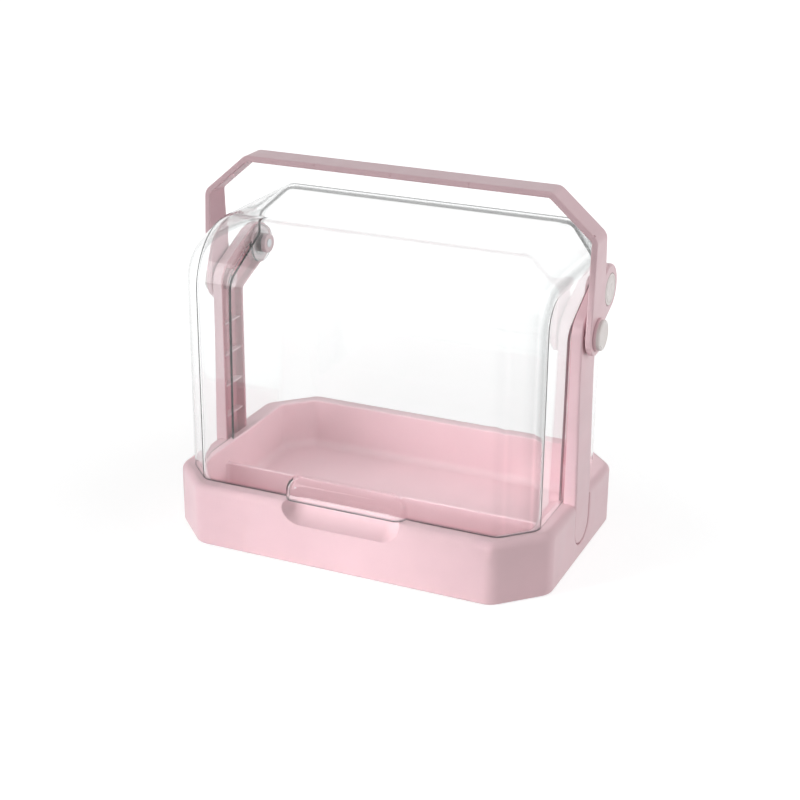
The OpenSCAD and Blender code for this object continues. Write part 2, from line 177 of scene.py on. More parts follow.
def lathe(profile: np.ndarray, y: float, z: float, steps: int = 48,
          slots: np.ndarray | None = None) -> Skin:
    """Turn a profile about an axis along X: (x, y + r cos t, z + r sin t).

    Args:
        profile: Places along X and radii, in order.
        y: Place of the axis along Y.
        z: Place of the axis along Z.
        steps: Faces round the axis.
        slots: Finish index of each stretch of the profile, or None for the first finish.

    Returns:
        The turned skin.
    """
    t = np.linspace(0, 2 * np.pi, steps, endpoint=False)[None, :]
    x, r = profile[:, :1], profile[:, 1:]
    grid = np.stack([x + 0 * t, y + r * np.cos(t), z + r * np.sin(t)], axis=-1)
    skin = grid_skin(grid, closed=True)
    if slots is not None:
        skin.slots = np.repeat(slots, steps)
    return skin


def upended(skin: Skin, x: float, y: float) -> Skin:
    """Stand a skin that was turned about X upright at a place: its X becomes Z."""
    points = np.stack([x - skin.points[:, 2], y + skin.points[:, 1], skin.points[:, 0]], axis=-1)
    return Skin(points, skin.faces, skin.slots, skin.tint)


def rounded_path(corners: np.ndarray, radii: list, steps: int) -> np.ndarray:
    """Carry a path through corners that are turned by arcs.

    At a corner of inner angle 2h, an arc of radius r starts r / tan(h) before it, about a centre
    r / sin(h) away along its bisector.

    Args:
        corners: Corners in order, as two coordinates.
        radii: Radius at each corner but the first and last.
        steps: Steps of each arc.

    Returns:
        Points of the path, as two coordinates.
    """
    pieces = [corners[:1]]
    for before, at, after, radius in zip(corners[:-2], corners[1:-1], corners[2:], radii):
        a = (before - at) / np.linalg.norm(before - at)
        b = (after - at) / np.linalg.norm(after - at)
        half = math.acos(float(a @ b)) / 2
        centre = at + (a + b) / np.linalg.norm(a + b) * radius / math.sin(half)
        start = at + a * radius / math.tan(half) - centre
        end = at + b * radius / math.tan(half) - centre
        sweep = math.atan2(start[0] * end[1] - start[1] * end[0], float(start @ end))
        t = np.linspace(0, sweep, steps + 1)[:, None]
        pieces.append(centre + start * np.cos(t) + np.array([-start[1], start[0]]) * np.sin(t))
    pieces.append(corners[-1:])
    return np.concatenate(pieces)


def arc(y: float, z: float, radius: float, start: float, end: float, step: float = 5.0) -> np.ndarray:
    """Points of an arc, with angles in degrees: centre + r (cos t, sin t)."""
    t = np.radians(np.linspace(start, end, max(2, int(abs(end - start) / step) + 1)))
    return np.stack([y + radius * np.cos(t), z + radius * np.sin(t)], axis=-1)


def smooth_max(a: np.ndarray, b: np.ndarray, k: float) -> np.ndarray:
    """Greater value, rounded over a width k: max + k h^2 / 4, with h = max(1 - |a - b| / k, 0)."""
    h = np.maximum(1 - np.abs(a - b) / k, 0)
    return np.maximum(a, b) + h * h * k / 4


def plain_mesh(name: str, skin: Skin, solid: bool) -> bpy.types.Mesh:
    """Put a skin into a mesh, with its doubles merged and its painted shade per point as an attribute.

    Args:
        name: Name of the mesh.
        skin: The skin.
        solid: True for a closed form, whose faces are then turned outwards.

    Returns:
        The mesh.
    """
    mesh = bpy.data.meshes.new(name)
    mesh.from_pydata((skin.points * MM).tolist(), [], skin.faces)
    mesh.polygons.foreach_set("material_index", skin.slots.astype(np.int32))
    # Painted shade per point, which the clear material reads.
    mesh.attributes.new("tint", "FLOAT", "POINT").data.foreach_set("value", skin.tint.astype(np.float32))
    work = bmesh.new()
    work.from_mesh(mesh)
    bmesh.ops.remove_doubles(work, verts=work.verts, dist=MERGE)
    bmesh.ops.dissolve_degenerate(work, dist=SLIVER, edges=work.edges)
    if solid:
        bmesh.ops.recalc_face_normals(work, faces=work.faces)
    work.to_mesh(mesh)
    work.free()
    return mesh


def linked(name: str, mesh: bpy.types.Mesh) -> bpy.types.Object:
    """Put a mesh into the scene as an object at the origin.

    Args:
        name: Name of the object.
        mesh: Its mesh.

    Returns:
        The object.
    """
    item = bpy.data.objects.new(name, mesh)
    bpy.context.scene.collection.objects.link(item)
    return item


def settle(item: bpy.types.Object) -> None:
    """Apply an object's modifiers to its mesh.

    Args:
        item: The object.
    """
    bpy.context.view_layer.update()
    done = item.evaluated_get(bpy.context.evaluated_depsgraph_get())
    mesh = bpy.data.meshes.new_from_object(done)
    item.modifiers.clear()
    item.data = mesh


def carved(skin: Skin, cutters: list) -> Skin:
    """Cut closed forms out of another.

    Args:
        skin: Closed skin that is cut.
        cutters: Closed skins that are taken away.

    Returns:
        What is left.
    """
    item = linked("blank", plain_mesh("blank", skin, True))
    tools = [linked("cutter", plain_mesh("cutter", cutter, True)) for cutter in cutters]
    for held in [item, *tools]:
        # Without empty slots the cut would drop the faces' slot numbers.
        for _ in range(1 + int(skin.slots.max())):
            held.data.materials.append(None)
    for tool in tools:
        cut = item.modifiers.new("cut", "BOOLEAN")
        cut.operation = "DIFFERENCE"
        cut.solver = "EXACT"
        cut.object = tool
    settle(item)
    mesh = item.data
    points = np.empty(len(mesh.vertices) * 3)
    mesh.vertices.foreach_get("co", points)
    faces = [list(face.vertices) for face in mesh.polygons]
    slots = np.empty(len(faces), np.int32)
    mesh.polygons.foreach_get("material_index", slots)
    for done in [item, *tools]:
        bpy.data.objects.remove(done)
    points = points.reshape(-1, 3) / MM
    return Skin(points, faces, slots, np.zeros(len(points)))


@dataclass(frozen=True)
class Piece:
    """What a finished piece is called, stands for and rides on."""

    name: str
    node: str
    body: Body
    slot: str

    def place(self, skin: Skin, finishes: list, solid: bool = True, sharp: float = 35.0,
              wall: float = 0.0, bevel: float = 0.0) -> bpy.types.Object:
        """Make the piece's object and give it to the frame.

        Args:
            skin: Its mesh in the making.
            finishes: Its materials, in slot order; the last one is for cut rims where a wall is given.
            solid: True for a closed form, False for a sheet that gets a wall.
            sharp: Angle in degrees past which an edge stays sharp.
            wall: Thickness that a sheet gets inwards, or 0.
            bevel: Width of the rounding along sharp edges, or 0.

        Returns:
            The object.
        """
        item = linked(self.name, plain_mesh(self.name, skin, solid))
        for finish in finishes:
            item.data.materials.append(finish)
        if wall:
            shell = item.modifiers.new("wall", "SOLIDIFY")
            shell.thickness = wall * MM
            shell.offset = -1
            shell.use_even_offset = True
            shell.use_quality_normals = True
            shell.material_offset_rim = len(finishes) - 1
        if bevel:
            edge = item.modifiers.new("edge", "BEVEL")
            edge.width = bevel * MM
            edge.segments = 2
            edge.limit_method = "ANGLE"
            edge.angle_limit = math.radians(ROUNDED_FROM)
        if wall or bevel:
            settle(item)
        item.data.shade_smooth()
        item.data.set_sharp_from_angle(angle=math.radians(sharp))
        even = item.modifiers.new("even", "WEIGHTED_NORMAL")
        even.keep_sharp = True
        even.weight = 100
        settle(item)
        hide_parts(self.node)
        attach(item, self.body.value)
        log.info("%s: %d faces on %s", self.name, len(item.data.polygons), self.body.value)
        return item


@dataclass(frozen=True)
class Pair:
    """Right-hand skin that stands for two pieces of the base, with their names up to the side."""

    name: str
    node: str
    slot: str
    skin: Skin
    finishes: list
    sharp: float = 30.0

    def place(self, side: Side) -> None:
        """Place the piece of one side, mirrored for the left."""
        piece = Piece(f"{self.name}_{side.word}", f"{self.node}_{side.word}", Body.BASE, self.slot)
        piece.place(self.skin.on(side), self.finishes, sharp=self.sharp)


# Finishes


class NodeSheet:
    """Builder for the nodes of one material or world."""

    @classmethod
    def of_material(cls, name: str) -> tuple[bpy.types.Material, "NodeSheet", bpy.types.NodeSocket]:
        """Start a material.

        Args:
            name: Name of the material.

        Returns:
            The material, its sheet and the socket of its object coordinates.
        """
        material = bpy.data.materials.new(name)
        material.use_nodes = True
        sheet = cls(material.node_tree)
        return material, sheet, sheet.add("ShaderNodeTexCoord").outputs["Object"]

    def __init__(self, tree: bpy.types.NodeTree) -> None:
        """Empty the node tree that is to be filled."""
        self.tree = tree
        tree.nodes.clear()

    def add(self, kind: str, inputs: dict | None = None, **settings: object) -> bpy.types.Node:
        """Add a node.

        Args:
            kind: Blender's name of the node type.
            inputs: Value or output socket for each input, by name or number.
            settings: Properties of the node.

        Returns:
            The node.
        """
        node = self.tree.nodes.new(kind)
        for key, value in settings.items():
            setattr(node, key, value)
        for key, value in (inputs or {}).items():
            if isinstance(value, bpy.types.NodeSocket):
                self.tree.links.new(value, node.inputs[key])
            else:
                node.inputs[key].default_value = value
        return node

    def noise(self, where: bpy.types.NodeSocket, scale: float,
              detail: float = 2.0) -> bpy.types.NodeSocket:
        """Value of a noise with so many waves in a metre and so many octaves."""
        inputs = {"Vector": where, "Scale": scale, "Detail": detail}
        return self.add("ShaderNodeTexNoise", inputs).outputs[0]

    def between(self, value: bpy.types.NodeSocket, low: float, high: float) -> bpy.types.NodeSocket:
        """Spread a value from the range of most noise over another range.

        Args:
            value: Value that is spread.
            low: Result at the low end.
            high: Result at the high end.

        Returns:
            The result's socket.
        """
        return self.add("ShaderNodeMapRange", {
            "Value": value, "From Min": NOISE_LOW, "From Max": NOISE_HIGH, "To Min": low, "To Max": high,
        }).outputs[0]

    def bump(self, height: bpy.types.NodeSocket, strength: float, depth: float) -> bpy.types.NodeSocket:
        """Normal that follows a height value over a depth in metres."""
        inputs = {"Height": height, "Strength": strength, "Distance": depth}
        return self.add("ShaderNodeBump", inputs).outputs[0]

    def blend(self, share: object, first: tuple, second: tuple) -> bpy.types.NodeSocket:
        """Mix of two colours by the share of the second, which is a value or a socket."""
        node = self.add("ShaderNodeMix", {0: share, 6: (*first, 1), 7: (*second, 1)}, data_type="RGBA")
        return node.outputs[2]

    def show(self, shader: bpy.types.Node, kind: str = "ShaderNodeOutputMaterial") -> None:
        """Connect a shader to an output node of a kind."""
        self.add(kind, {"Surface": shader.outputs[0]})


@dataclass(frozen=True)
class MouldedPlastic:
    """Opaque moulded plastic: slightly cloudy colour, fine spark-eroded grain and uneven gloss."""

    name: str
    colour: tuple
    roughness: float = 0.36
    cloud: float = 0.04
    grain: float = 0.05
    cloud_scale: float = 22.0
    gloss_scale: float = 90.0
    gloss_spread: float = 0.05
    grain_scale: float = 2600.0
    grain_depth: float = 0.0002
    coat: float = 0.08
    coat_roughness: float = 0.18

    def make(self) -> bpy.types.Material:
        """Build the material.

        Returns:
            The material.
        """
        material, sheet, where = NodeSheet.of_material(self.name)
        cloudy = sheet.between(sheet.noise(where, self.cloud_scale, 3), 0, 1)
        light = tuple(min(1.0, c * (1 + self.cloud)) for c in self.colour)
        dark = tuple(c * (1 - self.cloud) for c in self.colour)
        grain = sheet.noise(where, self.grain_scale, 1)
        gloss = sheet.noise(where, self.gloss_scale)
        smooth, dull = self.roughness - self.gloss_spread, self.roughness + self.gloss_spread
        shader = sheet.add("ShaderNodeBsdfPrincipled", {
            "Base Color": sheet.blend(cloudy, dark, light),
            "Roughness": sheet.between(gloss, smooth, dull),
            "Normal": sheet.bump(grain, self.grain, self.grain_depth),
            "Coat Weight": self.coat,
            "Coat Roughness": self.coat_roughness,
        })
        sheet.show(shader)
        return material


@dataclass(frozen=True)
class ClearPlastic:
    """Polished clear plastic that lets lamps through, with painted shade: greyer and rougher where the
    point attribute of painted shade says.
    """

    name: str
    clear: tuple
    grey: tuple
    roughness: float = 0.015
    shaded_roughness: float = 0.2
    wave: float = 0.02
    wave_scale: float = 14.0
    wave_depth: float = 0.002
    ior: float = 1.49
    lamp_colour: tuple = (0.97, 0.975, 0.975)

    def make(self) -> bpy.types.Material:
        """Build the material.

        Returns:
            The material.
        """
        material, sheet, where = NodeSheet.of_material(self.name)
        tint = sheet.add("ShaderNodeAttribute", attribute_name="tint").outputs["Fac"]
        flow = sheet.noise(where, self.wave_scale, 1)
        # Painted shade: dark grey is mixed into the glass where the attribute says, with rougher gloss
        # there.
        glass = sheet.add("ShaderNodeBsdfPrincipled", {
            "Base Color": sheet.blend(tint, self.clear, self.grey),
            "Roughness": sheet.between(tint, self.roughness, self.shaded_roughness),
            "IOR": self.ior,
            "Transmission Weight": 1.0,
            "Normal": sheet.bump(flow, self.wave, self.wave_depth),
        })
        lamp = sheet.add("ShaderNodeLightPath").outputs["Is Shadow Ray"]
        through = sheet.add("ShaderNodeBsdfTransparent", {"Color": (*self.lamp_colour, 1)})
        mixed = sheet.add("ShaderNodeMixShader", {0: lamp, 1: glass.outputs[0], 2: through.outputs[0]})
        sheet.show(mixed)
        return material


@dataclass(frozen=True)
class PlatedSteel:
    """Zinc-plated steel with fine turning marks and patchy gloss."""

    name: str
    colour: tuple
    dulling: float = 0.9
    patch_scale: float = 300.0
    smooth: float = 0.26
    dull: float = 0.4
    gloss_scale: float = 500.0
    marks: float = 0.12
    marks_scale: float = 1800.0
    marks_depth: float = 0.0002

    def make(self) -> bpy.types.Material:
        """Build the material.

        Returns:
            The material.
        """
        material, sheet, where = NodeSheet.of_material(self.name)
        marks = sheet.noise(where, self.marks_scale, 3)
        patches = sheet.between(sheet.noise(where, self.patch_scale), 0, 1)
        dark = tuple(c * self.dulling for c in self.colour)
        gloss = sheet.noise(where, self.gloss_scale)
        shader = sheet.add("ShaderNodeBsdfPrincipled", {
            "Base Color": sheet.blend(patches, dark, self.colour),
            "Metallic": 1.0,
            "Roughness": sheet.between(gloss, self.smooth, self.dull),
            "Normal": sheet.bump(marks, self.marks, self.marks_depth),
        })
        sheet.show(shader)
        return material


class Finishes:
    """All finishes of the organizer, made once."""

    def __init__(self) -> None:
        """Make the materials."""
        self.pink = MouldedPlastic("pink moulding", (0.80, 0.555, 0.595)).make()
        # Darker pink: painted shade on the handle's inner faces and on the washers in the gap between arm
        # and upright; the bottom plate under the base takes it too.
        self.deep = MouldedPlastic("pink moulding painted shade", (0.74, 0.49, 0.535), 0.42).make()
        # Darker, redder pink for the posts' channels: painted shade of the recess.
        self.channel_shade = MouldedPlastic("channel pink painted shade", (0.60, 0.25, 0.30), 0.42).make()
        self.pale = MouldedPlastic("pale plastic", (0.80, 0.73, 0.71), 0.3, 0.02, 0.02).make()
        self.nylon = MouldedPlastic("tinted nylon", (0.60, 0.47, 0.49), 0.5, 0.03, 0.04).make()
        self.rubber = MouldedPlastic("pad rubber", (0.52, 0.48, 0.48), 0.7, 0.06, 0.3).make()
        self.steel = PlatedSteel("zinc plated steel", (0.66, 0.68, 0.70)).make()
        # Dark grey as painted shade: mixed into the clear covers along creases and edges, and the whole
        # colour of their cut rims.
        grey = (0.10, 0.12, 0.12)
        self.clear = ClearPlastic("clear plastic", (0.985, 0.992, 0.992), grey).make()
        self.rim = ClearPlastic("painted shade on clear rims", grey, grey, 0.12).make()


# Tray base


@dataclass(frozen=True)
class CutCornerLoop:
    """Columns of closed outlines with four cut corners, anticlockwise from above, front edge first."""

    front_x: np.ndarray
    arc_steps: int = 5
    edge_steps: int = 5

    @property
    def front(self) -> slice:
        """Columns on the front edge."""
        return slice(self.arc_steps + 1, self.arc_steps + 1 + len(self.front_x))

    def at(self, half_w: np.ndarray, half_d: np.ndarray, cut: np.ndarray,
           radius: np.ndarray) -> np.ndarray:
        """Outlines at several levels.

        The eight edges head 0, 45, ... 315 degrees; the corner before heading h is an arc
        centre + r (sin h, -cos h), and the points between arcs share the edge out.

        Args:
            half_w: Half width at each level.
            half_d: Half depth at each level.
            cut: Corner cut at each level.
            radius: Corner radius at each level.

        Returns:
            Points as levels, columns and X, Y.
        """
        heading = np.radians(45.0 * np.arange(8))
        vx = np.stack([cut - half_w, half_w - cut, half_w, half_w,
                       half_w - cut, cut - half_w, -half_w, -half_w], axis=1)
        vy = np.stack([-half_d, -half_d, cut - half_d, half_d - cut,
                       half_d, half_d, half_d - cut, cut - half_d], axis=1)
        middle = heading - np.pi / 8
        reach = radius[:, None] / np.cos(np.pi / 8)
        turn = heading[:, None] + np.radians(np.linspace(-45, 0, self.arc_steps + 1))[None, :]
        r = radius[:, None, None]
        ax = (vx - np.sin(middle) * reach)[:, :, None] + r * np.sin(turn)
        ay = (vy + np.cos(middle) * reach)[:, :, None] - r * np.cos(turn)
        pieces = []
        for k in range(8):
            n = (k + 1) % 8
            x0, y0, x1, y1 = ax[:, k, -1:], ay[:, k, -1:], ax[:, n, :1], ay[:, n, :1]
            share = np.linspace(0, 1, self.edge_steps + 2)[None, 1:-1]
            if k == 0:
                share = (self.front_x[None, :] - x0) / (x1 - x0)
            pieces.append(np.stack([ax[:, k], ay[:, k]], axis=-1))
            pieces.append(np.stack([x0 + (x1 - x0) * share, y0 + (y1 - y0) * share], axis=-1))
        return np.concatenate(pieces, axis=1)


@dataclass(frozen=True)
class TrayBase:
    """Eight-sided tray with a rounded rim, a low wall across it and a finger scoop in front."""

    half_w: float = 130.0
    half_d: float = 87.5
    cut: float = 28.75
    corner_r: float = 13.0
    rim_z: float = 42.0
    top_r: float = 5.0
    foot_r: float = 2.2
    foot_z: float = 0.3
    tray_w: float = 115.0
    tray_d: float = 74.8
    tray_cut: float = 18.0
    tray_r: float = 7.0
    lip_r: float = 1.2
    floor_z: float = 8.0
    floor_r: float = 6.0
    scoop_r: float = 13.5
    scoop_reach: float = 27.0
    scoop_out: float = 2.0
    wall: float = 2.4
    divider_y: float = -22.0
    divider_z: float = 29.5
    slot_r: float = 14.3
    slot_x: float = 120.7
    slot_z: float = 24.0
    flare: float = 0.9
    skirt: float = 2.4
    skirt_high: float = 5.6
    skirt_low: float = 1.1
    draft: float = 0.015
    scoop_soft: float = 1.8
    swell_soft: float = 1.0
    divider_half: float = 1.2
    divider_foot: float = 3.0
    divider_end_r: float = 4.0
    pad_x: float = 98.0
    pad_y: float = 58.0

    def scoop(self, x: np.ndarray, z: np.ndarray, extra: float = 0.0) -> np.ndarray:
        """Depth of the scoop behind the front face.

        A ball of radius r is drawn along X at the rim's height: depth = sqrt(r^2 - dx^2 - dz^2) - out,
        with dx counted past the reach, and the root's sign kept where its content is negative.

        Args:
            x: Places along X.
            z: Heights.
            extra: Added to the radius.

        Returns:
            Depths.
        """
        dx = np.maximum(np.abs(x) - self.scoop_reach, 0)
        content = (self.scoop_r + extra) ** 2 - (self.rim_z - z) ** 2 - dx**2
        return np.sign(content) * np.sqrt(np.abs(content)) - self.scoop_out

    def outer_rows(self) -> tuple[np.ndarray, np.ndarray]:
        """Levels of the outer face: hollow, lower rounding, wall, upper rounding.

        Returns:
            Inset and height of each level.
        """
        low = np.radians(np.linspace(66, 0, 7))
        ball = np.radians(np.arange(0, 67, 4.5))
        top = np.radians(np.linspace(0, 90, 11))
        wall_z = np.array([9.0, 14, 20, 25, 27.2, 28])
        inset = np.r_[self.skirt, self.skirt, self.foot_r * (1 - np.cos(low)),
                      np.zeros(len(wall_z) + len(ball)), self.top_r * (1 - np.cos(top))]
        z = np.r_[self.skirt_high, self.skirt_low, self.foot_z + self.foot_r * (1 - np.sin(low)), wall_z,
                  self.rim_z - self.scoop_r * np.cos(ball), self.rim_z - self.top_r * (1 - np.sin(top))]
        return inset, z

    def inner_rows(self) -> tuple[np.ndarray, np.ndarray]:
        """Levels of the tray: edge rounding, wall with draft, floor rounding.

        Returns:
            Offset outwards and height of each level.
        """
        edge = np.radians(np.linspace(0, 90, 6))
        wall_z = np.array([39.0, 37, 35, 33, 31, 27, 22, 17])
        low = np.radians(np.linspace(0, 90, 9))
        foot = self.floor_z + self.floor_r
        end = (self.rim_z - self.lip_r - foot) * self.draft
        offset = np.r_[self.lip_r * (1 - np.sin(edge)), -(self.rim_z - self.lip_r - wall_z) * self.draft,
                       -end - self.floor_r * (1 - np.cos(low)), -2 * self.floor_r]
        z = np.r_[self.rim_z - self.lip_r * (1 - np.cos(edge)), wall_z,
                  foot - self.floor_r * np.sin(low), self.floor_z]
        return offset, z

    def tub(self) -> Skin:
        """Skin of the tub, from the hollow under it over the rim to the tray's floor.

        Returns:
            The closed skin.
        """
        ball = self.scoop_reach + self.scoop_r * np.sin(np.radians(np.arange(0, 91, 5.5)))
        right = np.r_[9.0, 18.0, ball, 42.5, 45, 50, 60, 72, 84]
        loop = CutCornerLoop(np.r_[-right[::-1], 0.0, right])
        slope = 2 - math.sqrt(2)
        inset, z = self.outer_rows()
        outer = loop.at(self.half_w - inset, self.half_d - inset, self.cut - slope * inset,
                        np.maximum(self.corner_r - inset, 0.9))
        outer = np.dstack([outer, np.broadcast_to(z[:, None], outer.shape[:2])])
        x = outer[:, loop.front, 0]
        sunk = smooth_max(inset[:, None] + 0 * x, self.scoop(x, z[:, None]), self.scoop_soft)
        outer[:, loop.front, 1] = sunk - self.half_d
        offset, z = self.inner_rows()
        inner = loop.at(self.tray_w + offset, self.tray_d + offset, self.tray_cut + slope * offset,
                        np.maximum(self.tray_r + offset, 1.5))
        inner = np.dstack([inner, np.broadcast_to(z[:, None], inner.shape[:2])])
        x = inner[:, loop.front, 0]
        swell = self.scoop(x, z[:, None], self.wall) - np.maximum(offset, 0)[:, None] - self.half_d
        inner[:, loop.front, 1] = smooth_max(inner[:, loop.front, 1], swell, self.swell_soft)
        share = np.array([0.2, 0.5, 0.8])[:, None, None]
        rim = outer[-1] * (1 - share) + inner[0] * share
        return tube_skin(np.concatenate([outer, rim, inner]))

    def slot(self) -> Skin:
        """Cutter for the right upright's foot, flared where it breaks out of the side face.

        The outline is a half circle with straight sides over it. Over the last f millimetres it grows
        by a quarter circle: f (1 - sqrt(1 - s^2)), with s from 0 to 1.

        Returns:
            The closed cutter.
        """
        t = np.radians(np.linspace(0, 90, 6))
        x = np.r_[self.slot_x, self.half_w - self.flare * np.cos(t), self.half_w + 1.5]
        out = np.maximum((x - self.half_w + self.flare) / self.flare, 0)
        radius = self.slot_r + self.flare * (1 - np.sqrt(np.maximum(1 - out**2, 0)))
        half_turn = arc(0, 0, 1, 180, 360, 6)[None]
        turned = np.stack([x[:, None] + 0 * half_turn[..., 0],
                           radius[:, None] * half_turn[..., 0],
                           self.slot_z + radius[:, None] * half_turn[..., 1]], axis=-1)
        top = turned[:, [-1, 0]] * (1, 1, 0) + (0, 0, self.rim_z + 3)
        return tube_skin(np.concatenate([turned, top], axis=1))

    def divider(self) -> Skin:
        """Low wall across the tray, rounded on top, with fillets at the floor and at both ends.

        Half thickness at height h over the floor is half + f - sqrt(f^2 - (f - h)^2) below the
        fillet's height f, a half circle at the top, and near the side walls e - sqrt(e^2 - d^2) more,
        with e the end fillet's radius and d the way into it.

        Returns:
            The closed skin.
        """
        half, foot, end_r = self.divider_half, self.divider_foot, self.divider_end_r
        t = np.radians(np.linspace(0, 90, 6))
        width = np.r_[half + foot, half + foot * (1 - np.sin(t)), half * np.cos(t)]
        z = np.r_[self.floor_z - 1.5, self.floor_z + foot * (1 - np.cos(t)),
                  self.divider_z - half * (1 - np.sin(t))]
        reach = self.tray_w + 0.3
        end = reach - end_r
        fillet = np.sin(np.radians(np.arange(15, 91, 15)))
        x = np.r_[np.linspace(0, end, 9), end + end_r * fillet]
        x = np.r_[-x[:0:-1], x]
        more = end_r - np.sqrt(np.maximum(end_r**2 - np.maximum(np.abs(x) - end, 0) ** 2, 0))
        y = width[None, :] + np.where(width > 0, 1, 0)[None, :] * more[:, None]
        x = np.broadcast_to(x[:, None], y.shape)
        z = np.broadcast_to(z[None, :], y.shape)
        front = np.stack([x, self.divider_y - y, z], axis=-1)
        back = np.stack([x, self.divider_y + y, z], axis=-1)
        return tube_skin(np.concatenate([front, back[:, ::-1]], axis=1))

    def build(self, finishes: Finishes) -> None:
        """Make the tub and its pads.

        Args:
            finishes: The finishes.
        """
        skin = carved(self.tub(), [self.slot(), self.slot().mirrored()]).plus(self.divider())
        Piece("tray_tub", "base_tub", Body.BASE, "pink_moulding").place(skin, [finishes.pink], sharp=32)
        profile = np.array([[1.6, 0], [1.6, 9], [0.5, 9], [0.2, 8.8],
                            [0, 8.3], [0, 6.2], [0.3, 5.8], [0.3, 0]])
        pad = lathe(profile, 0, 0, 40)
        for end, y in (("front", -self.pad_y), ("rear", self.pad_y)):
            for side in Side:
                word = f"{end}_{side.word}"
                piece = Piece(f"pad_{word}", f"foot_pad_{word}", Body.BASE, "pad_rubber")
                piece.place(upended(pad, side.value * self.pad_x, y), [finishes.rubber], sharp=30)


# Uprights


@dataclass(frozen=True)
class Upright:
    """Hollow side post with a round boss and a head that leans back."""

    inner_x: float = 121.0
    outer_x: float = 128.2
    foot_x: float = 129.6
    foot_top_z: float = 46.0
    taper_top_z: float = 120.5
    half_d: float = 14.0
    foot_z: float = 24.0
    boss_z: float = HANDLE_Z
    boss_r: float = 14.4
    head_y: float = 38.2
    head_z: float = 169.5
    head_r: float = 15.6
    pivot_y: float = LID_Y
    pivot_z: float = LID_Z
    cap_r: float = 10.5
    wall: float = 2.2
    edge_r: float = 1.5
    neck_low_z: float = 142.4
    softness: float = 1.4
    floor_r: float = 1.2
    inner_edge_r: float = 0.5
    pin_bore: float = 3.05
    rib_t: float = 1.4
    rib_z: tuple = (56.0, 78.0, 100.0, 122.0)

    def outline(self) -> np.ndarray:
        """Side outline as Y and Z: foot, column, boss, leaning neck and head, softened where they meet.

        Returns:
            Points in order, evenly spaced.
        """
        path = np.concatenate([
            arc(0, self.foot_z, self.half_d, -90, 0),
            np.array([[self.half_d, self.neck_low_z]]),
            arc(self.head_y, self.head_z, self.head_r, -67, 116.2),
            arc(0, self.boss_z, self.boss_r, 116.2, 194),
            arc(0, self.foot_z, self.half_d, 180, 265),
        ])
        path = np.concatenate([path, path[:1]])
        run = np.r_[0, np.cumsum(np.linalg.norm(np.diff(path, axis=0), axis=1))]
        even = np.linspace(0, run[-1], 361)[:-1]
        loop = np.stack([np.interp(even, run, path[:, 0]), np.interp(even, run, path[:, 1])], axis=-1)
        wave = np.fft.fftfreq(len(loop), d=run[-1] / len(loop))
        soft = np.exp(-2 * (np.pi * self.softness * wave) ** 2)[:, None]
        return np.real(np.fft.ifft(np.fft.fft(loop, axis=0) * soft, axis=0))

    def drawn_in(self, loop: np.ndarray, inset: float) -> np.ndarray:
        """Outline moved inwards along its normals.

        Args:
            loop: The outline.
            inset: Distance.

        Returns:
            The smaller outline.
        """
        along = np.roll(loop, -1, axis=0) - np.roll(loop, 1, axis=0)
        along /= np.linalg.norm(along, axis=1, keepdims=True)
        return loop + inset * np.stack([-along[:, 1], along[:, 0]], axis=-1)

    def face_x(self, z: np.ndarray) -> np.ndarray:
        """Place of the outer face along X at a height: thicker at the foot, then a straight taper."""
        return np.interp(z, [self.foot_top_z, self.taper_top_z], [self.foot_x, self.outer_x])

    def level(self, loop: np.ndarray, inset: float, x: np.ndarray | float) -> np.ndarray:
        """Points of the outline, drawn in and set at a place along X."""
        flat = self.drawn_in(loop, inset)
        return np.column_stack([np.broadcast_to(x, len(flat)), flat])

    def end_face(self, loop: np.ndarray, inset: float, drop: float) -> Skin:
        """Face that closes the skin, following the outer face.

        Args:
            loop: The outline.
            inset: How far it is drawn in.
            drop: Distance below the outer face.

        Returns:
            The face's skin.
        """
        flat = self.drawn_in(loop, inset)
        rows = np.array([46.0, 70, 95, 120.5])
        inner = np.stack([np.tile([-5.0, 0.0, 5.0], len(rows)), np.repeat(rows, 3)], axis=-1)
        places, faces = filled(flat, inner)
        points = np.column_stack([self.face_x(places[:, 1]) - drop, places])
        return Skin(points, faces, np.zeros(len(faces), int), np.zeros(len(points)))

    def shell(self) -> Skin:
        """Skin of the hollow post, from its outer face round the edge into the channel.

        A rounding of radius r, at angle t, is drawn in by r (1 - cos t) or r (1 - sin t).

        Returns:
            The closed skin, with the channel in the second finish, a darker pink as painted shade.
        """
        loop = self.outline()
        outer = self.face_x(loop[:, 1])
        inner, deep, side = self.inner_x, outer - self.wall, self.wall + 0.1
        turn = np.radians(np.linspace(0, 90, 7))
        rise, back = 1 - np.sin(turn), 1 - np.cos(turn)
        edge, lip, root = self.edge_r, self.inner_edge_r, self.floor_r
        rows = [(edge * a, outer - edge * b) for a, b in zip(rise, back)]
        rows += [(0, inner + 0.6 + (outer - inner - 0.6 - edge) * f) for f in (0.6, 0.25, 0.0)]
        rows += [(lip * b, inner + lip * a) for a, b in zip(rise[1::2], back[1::2])]
        rows += [(self.wall - 0.4, inner), (self.wall, inner + 0.4)]
        rows += [(side, inner + 0.4 + (deep - inner - 1.9) * f) for f in (0.5, 1.0)]
        rows += [(side + root * b, deep - root * a) for a, b in zip(rise[1:], back[1:])]
        body = grid_skin(np.stack([self.level(loop, inset, x) for inset, x in rows]), closed=True)
        # The last twelve rings of faces run from the inner edge to the channel's floor; they and the
        # floor take the painted shade.
        body.slots[-12 * len(loop):] = 1
        floor = self.end_face(loop, side + root, self.wall)
        floor.slots[:] = 1
        return body.plus(self.end_face(loop, edge, 0), floor)

